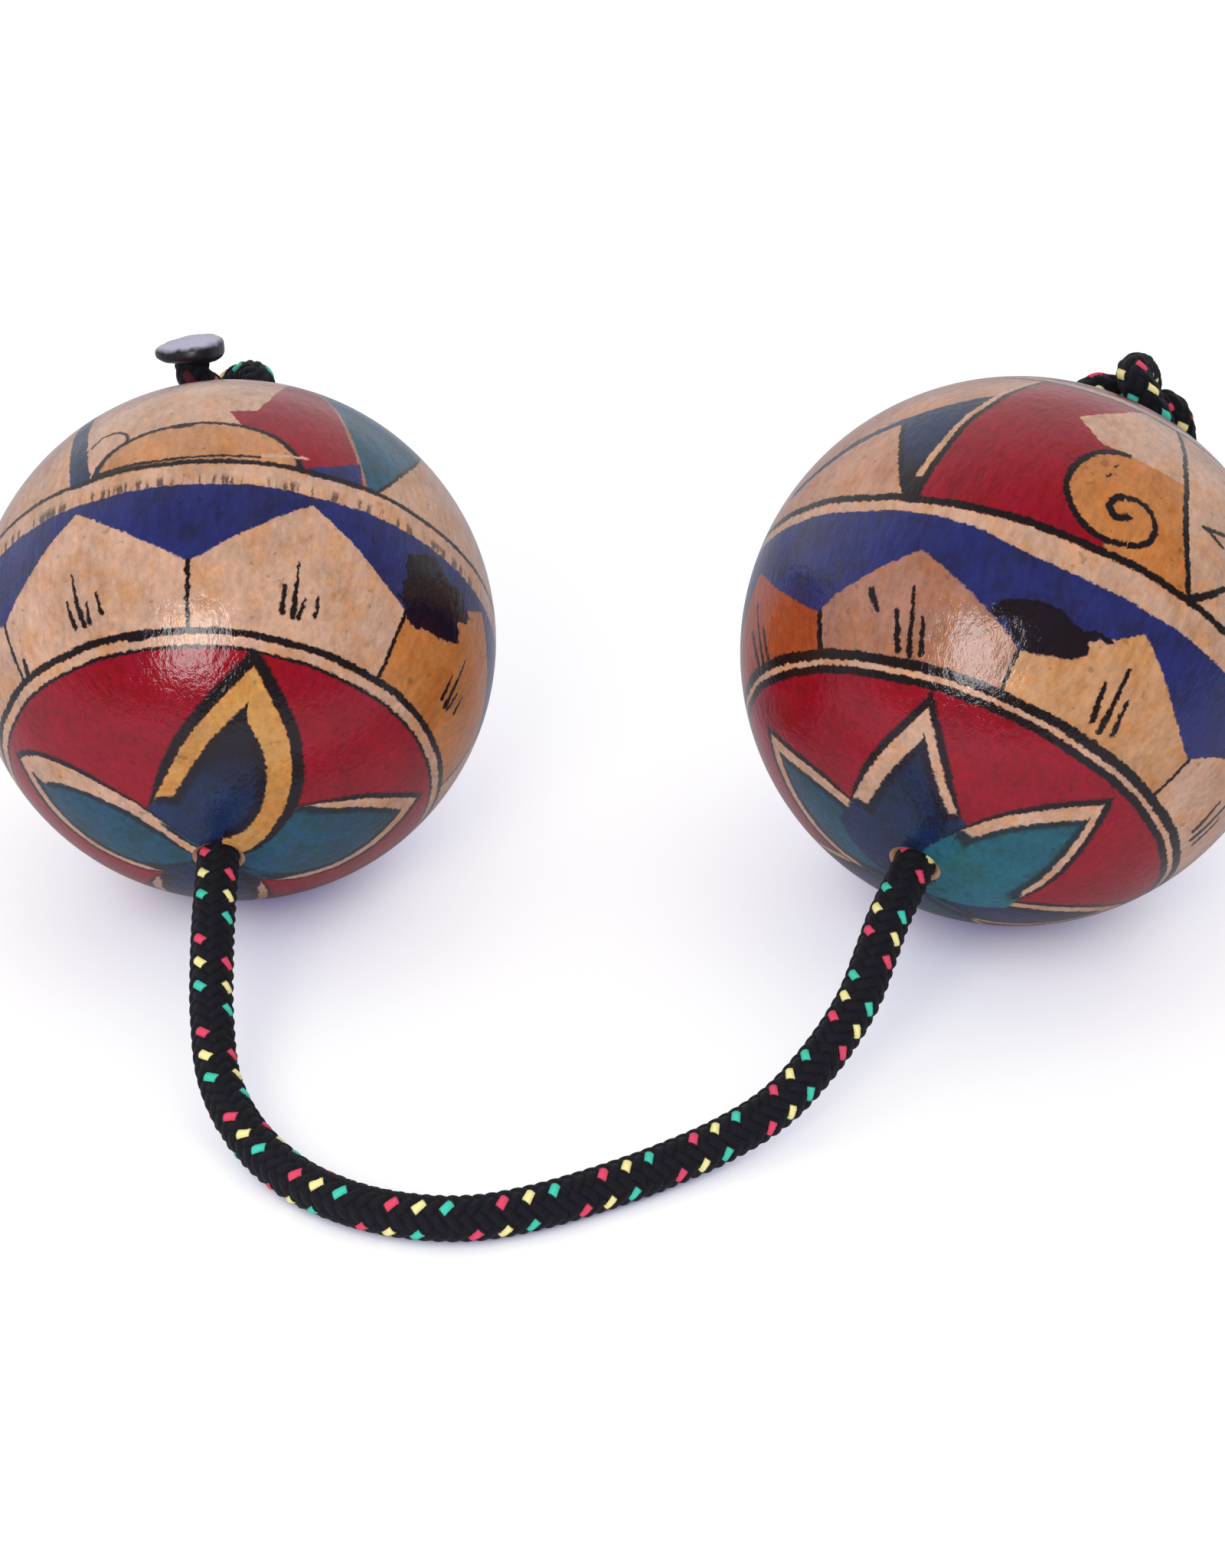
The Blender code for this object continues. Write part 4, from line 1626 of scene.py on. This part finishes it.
@dataclass
class BallSeat:
    """Where one ball lies and which way its cord leaves it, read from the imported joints."""

    side: Side
    radius: float
    centre: Vector
    exit: Vector
    hinge: Vector

    @classmethod
    def find(cls, side: Side, diameter: float, joints: Sequence[dict]) -> "BallSeat":
        """Read a ball's place from the joints.

        Args:
            side: Which ball.
            diameter: Its diameter.
            joints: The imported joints.

        Returns:
            The ball's seat.
        """
        named = {joint["name"]: joint for joint in joints}
        spin = named[f"{side.value}_spin"]
        swing = named[f"{side.value}_swing"]
        way_out = Vector(spin["axis"]).normalized()
        return cls(side, diameter / 2, Vector(spin["pos_m"]), way_out, Vector(swing["pos_m"]))

    @property
    def frame(self) -> Matrix:
        """Ball axes: right, up and out of the front hole."""
        right = Vector((0, 0, 1)).cross(self.exit).normalized()
        return Matrix((right, self.exit.cross(right), self.exit)).transposed()

    @property
    def rear(self) -> Vector:
        """Middle of the rear hole, on the ball's surface."""
        return self.centre - self.exit * self.radius


def start_clean() -> None:
    """Leave nothing selected, so that an operator acts on its own piece alone."""
    bpy.ops.object.select_all(action="DESELECT")


def active_piece(name: str) -> bpy.types.Object:
    """Name the piece that an operator has just added."""
    piece = bpy.context.view_layer.objects.active
    piece.name = name
    piece.data.name = name
    return piece


def apply_modifiers(piece: bpy.types.Object) -> None:
    """Apply every modifier of the active piece in order."""
    for modifier in list(piece.modifiers):
        bpy.ops.object.modifier_apply(modifier=modifier.name)


def settle(piece: bpy.types.Object) -> None:
    """Put the piece's place, turn and scale into its mesh."""
    start_clean()
    piece.select_set(True)
    bpy.context.view_layer.objects.active = piece
    bpy.ops.object.transform_apply(location=True, rotation=True, scale=True)


@dataclass
class BatikBall:
    """A hollow ball of two half shells with a countersunk hole at each pole."""

    seat: BallSeat
    pattern: BatikPattern
    book: PatternBook
    wall: float = 0.0040
    hole_radius: float = 0.00275
    lip: float = 0.0012
    lip_segments: int = 2
    lip_profile: float = 0.42
    seam: float = 0.00002
    segments: int = 144
    rings: int = 96
    sharp_angle: float = math.radians(40.0)

    def build(self) -> None:
        """Build and dress both half shells."""
        finish = BatikFinish(
            self.seat.side, self.pattern, self.seat.centre, self.seat.radius, self.seat.frame, self.book
        ).make()
        for half, away in (("front", 1.0), ("rear", -1.0)):
            shell = self.half_shell(half, away)
            self.dress(shell, half, finish)

    def half_shell(self, half: str, away: float) -> bpy.types.Object:
        """Turn one half shell.

        Args:
            half: Front or rear.
            away: Which way its pole points along the exit direction.

        Returns:
            The half shell, closed and in place.
        """
        radius = self.seat.radius
        start_clean()
        bpy.ops.mesh.primitive_uv_sphere_add(segments=self.segments, ring_count=self.rings, radius=radius)
        shell = active_piece(f"{self.seat.side.value}_{half}_half_shell")
        bpy.ops.object.mode_set(mode="EDIT")
        bpy.ops.mesh.select_all(action="SELECT")
        bpy.ops.mesh.bisect(
            plane_co=(0, 0, self.seam), plane_no=(0, 0, 1), clear_inner=True, clear_outer=False
        )
        bpy.ops.mesh.select_all(action="SELECT")
        mouth = math.sqrt(radius**2 - self.hole_radius**2)
        bpy.ops.mesh.bisect(plane_co=(0, 0, mouth), plane_no=(0, 0, 1), clear_inner=False, clear_outer=True)
        bpy.ops.object.mode_set(mode="OBJECT")
        self.thicken(shell)
        turned = self.seat.frame @ Matrix.Rotation(0.0 if away > 0 else math.pi, 3, "X")
        shell.matrix_world = Matrix.Translation(self.seat.centre) @ turned.to_4x4()
        settle(shell)
        return shell

    def thicken(self, shell: bpy.types.Object) -> None:
        """Give a half sphere its wall and countersink its hole."""
        wall = shell.modifiers.new("wall", "SOLIDIFY")
        wall.thickness = self.wall
        wall.offset = -1.0
        apply_modifiers(shell)
        bpy.ops.object.mode_set(mode="EDIT")
        bpy.ops.mesh.select_all(action="DESELECT")
        bpy.ops.object.mode_set(mode="OBJECT")
        reach = self.hole_radius * 1.02
        outside = self.seat.radius * 0.999
        for edge in shell.data.edges:
            ends = [shell.data.vertices[v].co for v in edge.vertices]
            edge.select = all(math.hypot(p.x, p.y) < reach and p.length > outside for p in ends)
        bpy.ops.object.mode_set(mode="EDIT")
        bpy.ops.mesh.select_mode(type="EDGE")
        bpy.ops.mesh.bevel(offset=self.lip, segments=self.lip_segments, profile=self.lip_profile)
        bpy.ops.object.mode_set(mode="OBJECT")
        bpy.ops.object.shade_smooth_by_angle(angle=self.sharp_angle)

    def dress(self, shell: bpy.types.Object, half: str, finish: bpy.types.Material) -> None:
        """Varnish a half shell and set it on its body."""
        side = self.seat.side.value
        shell.data.materials.clear()
        shell.data.materials.append(finish)
        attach(shell, f"{side}_ball")
        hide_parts(f"{side}_{half}_shell")
        LOG.info("%s: %d faces", shell.name, len(shell.data.polygons))


@dataclass
class StopperTail:
    """The cord inside one ball, the overhand knot behind it and the melted end."""

    seat: BallSeat
    knot_turn: float
    knot_end: tuple[Point, ...]
    braid: bpy.types.Material
    nylon: bpy.types.Material
    forward: bool
    strand_radius: float = 0.00198
    bead_radius: float = 0.0041
    bead_height: float = 0.0028
    scorched: float = 0.0055
    lump_size: float = 0.0035
    lump_depth: float = 0.0006

    # How square the melted end's edge is, how much thicker one side is, and its lobes
    BLUNTNESS = 3.2
    ONE_SIDED = 0.3
    LOBED = 0.08
    LOBE_TURN = 0.6

    def build(self, start: BraidEnd) -> list[bpy.types.Object]:
        """Build the pieces from the front hole to the cord's end.

        Args:
            start: Where the free cord's braid arrives.

        Returns:
            The core, the knot and the sealed end.
        """
        side = self.seat.side.value
        core_line = even_line([self.seat.hinge, self.seat.rear], LINE_STEP)
        core, after = BraidedTube(
            f"{side}_braided_core", core_line, CORD_RADIUS, start, self.forward, step=0.0003, sides=48
        ).build()
        line = self.knot_line()
        knot, _ = BraidedTube(
            f"{side}_braided_knot", line, self.strand_radius, after, self.forward, step=0.00025, sides=48,
            scorched=self.scorched,
        ).build()
        bead = self.sealed_end(line)
        for piece, node, finish, slot in (
            (core, "cord_core", self.braid, "braided_cord"),
            (knot, "knot", self.braid, "braided_cord"),
            (bead, "sealed_end", self.nylon, "melted_nylon"),
        ):
            self.dress(piece, f"{side}_{node}", finish, slot)
        return [core, knot, bead]

    def knot_line(self) -> list[Vector]:
        """The knot's smooth line, from the rear hole to the cord's end."""
        pitch = CORD_DIAMETER * KNOT_SQUEEZE * KNOT_PITCH
        spun = self.seat.frame @ Matrix.Rotation(-self.knot_turn, 3, "Z")
        base = self.seat.rear - self.seat.exit * SEAT_GAP
        places = [base + spun @ Vector((-v, -u, -w)) * pitch for u, v, w in KNOT_WINDINGS + self.knot_end]
        return smooth_line(places)

    def sealed_end(self, line: list[Vector]) -> bpy.types.Object:
        """Melted mushroom on the cord's end.

        Args:
            line: The knot's line.

        Returns:
            The bead, in place.
        """
        direction = (line[-1] - line[-2]).normalized()
        turned = direction.to_track_quat("Z", "Y")
        start_clean()
        bpy.ops.mesh.primitive_uv_sphere_add(segments=48, ring_count=24, radius=self.bead_radius)
        bead = active_piece(f"{self.seat.side.value}_melted_end")
        for vertex in bead.data.vertices:
            x, y, z = vertex.co / self.bead_radius
            thick = 1 + self.ONE_SIDED * (turned @ Vector((x, y, 0.0))).x
            blunt = (math.hypot(x, y) ** self.BLUNTNESS + abs(z) ** self.BLUNTNESS) ** (-1 / self.BLUNTNESS)
            lobe = 1 + self.LOBED * math.sin(2 * math.atan2(y, x) + self.LOBE_TURN)
            wide = self.bead_radius * blunt
            vertex.co = (x * lobe * wide, y / lobe * wide, z * blunt * thick * self.bead_height / 2)
        clouds = bpy.data.textures.new(f"{bead.name}_lumps", "CLOUDS")
        clouds.noise_scale = self.lump_size
        lumps = bead.modifiers.new("lumps", "DISPLACE")
        lumps.texture = clouds
        lumps.strength = self.lump_depth
        lumps.mid_level = 0.5
        apply_modifiers(bead)
        bpy.ops.object.shade_smooth()
        seat = line[-1] + direction * (SEAT_GAP + self.bead_height / 2)
        bead.matrix_world = Matrix.Translation(seat) @ turned.to_matrix().to_4x4()
        settle(bead)
        return bead

    def dress(self, piece: bpy.types.Object, node: str, finish: bpy.types.Material, slot: str) -> None:
        """Give a piece its finish and set it on its body in its node's stead."""
        piece.data.materials.clear()
        piece.data.materials.append(finish)
        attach(piece, f"{self.seat.side.value}_stopper")
        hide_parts(node)
        LOG.info("%s: %d faces", piece.name, len(piece.data.polygons))


@dataclass
class FreeCord:
    """The braided cord that lies on the table between the balls."""

    left: BallSeat
    right: BallSeat
    braid: bpy.types.Material
    phase: float = math.radians(-62.0)
    twist: float = math.radians(78.0)
    start_pitch: float = 0.0

    def line(self) -> list[Vector]:
        """The cord's smooth line from hinge to hinge, kept off the table by its own thickness."""
        start = [self.left.hinge, self.left.hinge + self.left.exit * EXIT_RUN]
        finish = [self.right.hinge + self.right.exit * EXIT_RUN, self.right.hinge]
        line = smooth_line(start + [Vector(point) for point in CORD_ROUTE] + finish)
        lowest = CORD_RADIUS + BraidedTube.relief * (1 - BraidedTube.CROWN_SHARE)
        return [Vector((p.x, p.y, max(p.z, lowest))) for p in line]

    def first_end(self) -> BraidEnd:
        """How the braid lies round the cord where it leaves the left ball."""
        normal = Matrix.Rotation(self.phase, 3, self.left.exit) @ self.left.frame.col[1]
        return BraidEnd(normal, self.start_pitch)

    def build(self) -> tuple[bpy.types.Object, BraidEnd]:
        """Build the cord.

        Returns:
            The cord, and where its braid arrives at the right ball.
        """
        cord, stop = BraidedTube(
            "free_braided_cord", self.line(), CORD_RADIUS, self.first_end(), twist=self.twist
        ).build()
        cord.data.materials.append(self.braid)
        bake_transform(cord)
        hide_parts("left_cord_run", "right_cord_run")
        LOG.info("%s: %d faces", cord.name, len(cord.data.polygons))
        return cord, stop

    def declare(self) -> None:
        line = even_line(self.line(), LINE_STEP)
        round(line_length(line), 4)


@dataclass
class SeedFill:
    """The loose seeds inside both balls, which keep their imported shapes."""

    nodes: dict[str, bpy.types.Object]

    def dress(self) -> None:
        """Give every seed the dry seed finish."""
        finish = DRY_SEED.make()
        for name, node in self.nodes.items():
            if "_seed_" in name:
                node.data.materials.clear()
                node.data.materials.append(finish)
        LOG.info("seeds dressed")


@dataclass(frozen=True)
class Lamp:
    """One rectangular lamp, and whether the varnish mirrors it."""

    name: str
    place: Point
    size: tuple[float, float]
    power: float
    mirrored: bool

    def build(self, aim: Vector) -> None:
        """Hang the lamp and turn it towards a point."""
        lamp = bpy.data.lights.new(self.name, "AREA")
        lamp.shape = "RECTANGLE"
        lamp.size, lamp.size_y = self.size
        lamp.energy = self.power
        item = bpy.data.objects.new(self.name, lamp)
        bpy.context.collection.objects.link(item)
        item.visible_glossy = self.mirrored
        item.location = self.place
        item.rotation_euler = (aim - Vector(self.place)).to_track_quat("-Z", "Y").to_euler()


WINDOW = Lamp("window", (-0.13, -0.38, 0.24), (0.16, 0.22), 0.82, mirrored=True)
SKY = Lamp("sky", (0.1, 0.2, 0.9), (1.0, 1.0), 2.3, mirrored=False)


@dataclass
class Studio:
    """Pale floor, soft light and the camera."""

    camera_place: Point = (-0.0018, -0.3209, 0.2129)
    camera_tilt: float = 58.0
    focal_pixels: float = 4200.0
    long_side: float = 2048.0
    sensor: float = 36.0
    daylight: float = 0.76
    surround: Colour = (0.97, 0.98, 1.0)
    dark_room: Point = (0.20, -0.92, 0.34)
    room_fade: tuple[float, float] = (-0.55, 0.45)
    gloom: float = 0.80
    mirrored: float = 0.85
    lit_point: Point = (0.0, 0.0, 0.03)
    floor_width: float = 6.0
    floor_plain: Colour = (0.90, 0.90, 0.94)
    # Darker copy of the floor that glossy rays see: a painted dimming of the floor's reflection in the
    # varnish
    floor_mirrored: Colour = (0.48, 0.48, 0.53)
    # For the camera the floor is low in blue and its glow high in blue, so it is white where lit and its
    # shade shows a painted lilac tint
    floor_seen: Colour = (0.95, 0.93, 0.66)
    open_glow: Colour = (1.33, 1.36, 1.95)
    # Painted contact shadow: the faint blue glow left where something is close above, and the reach and fade
    # of the occlusion that dims the glow there
    painted_shadow_glow: Colour = (0.0, 0.0, 0.42)
    glow_share: float = 0.30
    painted_shadow_reach: float = 0.02
    painted_shadow_fade: tuple[float, float] = (0.04, 0.46)

    def build(self) -> None:
        """Set the stage."""
        self.floor()
        self.world()
        self.lamps()
        self.camera()
        bpy.context.scene.view_settings.view_transform = "Standard"

    def floor(self) -> None:
        """A wide pale floor that keeps the object's shadow; for the camera it glows, and the glow gives way
        to a painted blue contact shadow where something is close above.
        """
        start_clean()
        bpy.ops.mesh.primitive_plane_add(size=self.floor_width)
        floor = active_piece("floor")
        material = bpy.data.materials.new("pale_floor")
        material.use_nodes = True
        graph = Graph(material.node_tree)
        material.node_tree.nodes.remove(material.node_tree.nodes["Principled BSDF"])
        matte = graph.node("ShaderNodeBsdfDiffuse")
        rays = graph.node("ShaderNodeLightPath")
        camera = Field(graph, rays.outputs["Is Camera Ray"])
        glossy = Field(graph, rays.outputs["Is Glossy Ray"])
        # Glossy rays see a darker copy of the floor, a painted dimming of its reflection; the camera sees a
        # colour low in blue, which tints the shade lilac
        plain = graph.mix(glossy, self.floor_plain, self.floor_mirrored)
        graph.plug(matte.inputs["Color"], graph.mix(camera, plain, self.floor_seen))
        glow = graph.node("ShaderNodeEmission")
        # Painted contact shadow: ambient occlusion fades the glow to a faint blue under the balls and the
        # cord
        contact_occlusion = graph.node("ShaderNodeAmbientOcclusion")
        contact_occlusion.inputs["Distance"].default_value = self.painted_shadow_reach
        outside_painted_shadow = graph.ramp(Field(graph, contact_occlusion.outputs["AO"]), *self.painted_shadow_fade)
        graph.plug(glow.inputs["Color"], graph.mix(outside_painted_shadow, self.painted_shadow_glow, self.open_glow))
        mix = graph.node("ShaderNodeMixShader")
        graph.plug(mix.inputs[0], camera * self.glow_share)
        material.node_tree.links.new(matte.outputs[0], mix.inputs[1])
        material.node_tree.links.new(glow.outputs[0], mix.inputs[2])
        output = material.node_tree.nodes["Material Output"]
        material.node_tree.links.new(mix.outputs[0], output.inputs["Surface"])
        floor.data.materials.append(material)

    def world(self) -> None:
        """A white surround that looks dark where the room behind the camera would mirror in varnish."""
        world = bpy.data.worlds.new("white_surround")
        bpy.context.scene.world = world
        world.use_nodes = True
        graph = Graph(world.node_tree)
        background = world.node_tree.nodes["Background"]
        background.inputs["Color"].default_value = (*self.surround, 1.0)
        rays = graph.node("ShaderNodeLightPath")
        camera = Field(graph, rays.outputs["Is Camera Ray"])
        glossy = Field(graph, rays.outputs["Is Glossy Ray"])
        facing = graph.node("ShaderNodeVectorMath", operation="DOT_PRODUCT")
        graph.plug(facing.inputs[0], Field(graph, graph.node("ShaderNodeTexCoord").outputs["Generated"]))
        facing.inputs[1].default_value = Vector(self.dark_room).normalized()
        gloom = graph.ramp(Field(graph, facing.outputs["Value"]), *self.room_fade) * self.gloom
        plain = self.daylight * (1.0 - camera.at_least(glossy))
        graph.plug(background.inputs["Strength"], plain + camera + glossy * (1.0 - gloom) * self.mirrored)

    def lamps(self) -> None:
        """A window close to the camera and a wide soft sky."""
        for lamp in (WINDOW, SKY):
            lamp.build(Vector(self.lit_point))

    def camera(self) -> None:
        """The photograph's viewpoint."""
        lens = bpy.data.cameras.new("camera")
        lens.sensor_width = self.sensor
        lens.lens = self.focal_pixels * self.sensor / self.long_side
        lens.clip_start = 0.01
        item = bpy.data.objects.new("camera", lens)
        bpy.context.collection.objects.link(item)
        item.location = self.camera_place
        item.rotation_euler = Euler((math.radians(self.camera_tilt), 0.0, 0.0))
        bpy.context.scene.camera = item


def main() -> None:
    """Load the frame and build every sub-assembly in order."""
    logging.basicConfig(level=logging.INFO, format="%(name)s: %(message)s")
    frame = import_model()
    left = BallSeat.find(Side.LEFT, LEFT_DIAMETER, frame["joints"])
    right = BallSeat.find(Side.RIGHT, RIGHT_DIAMETER, frame["joints"])
    Studio().build()
    book = PatternBook.make()
    braid_finish = BraidFinish().make(book)
    nylon = MeltedFinish().make()
    cord = FreeCord(left, right, braid_finish)
    free, arrival = cord.build()
    left_tail = StopperTail(left, LEFT_KNOT_TURN, LEFT_KNOT_END, braid_finish, nylon, forward=False)
    right_tail = StopperTail(right, RIGHT_KNOT_TURN, RIGHT_KNOT_END, braid_finish, nylon, forward=True)
    tails = left_tail.build(cord.first_end()) + right_tail.build(arrival)
    cord.declare()
    BatikBall(left, LEFT_PATTERN, book).build()
    BatikBall(right, RIGHT_PATTERN, book).build()
    SeedFill(frame["nodes"]).dress()


if __name__ == "__main__":
    main()
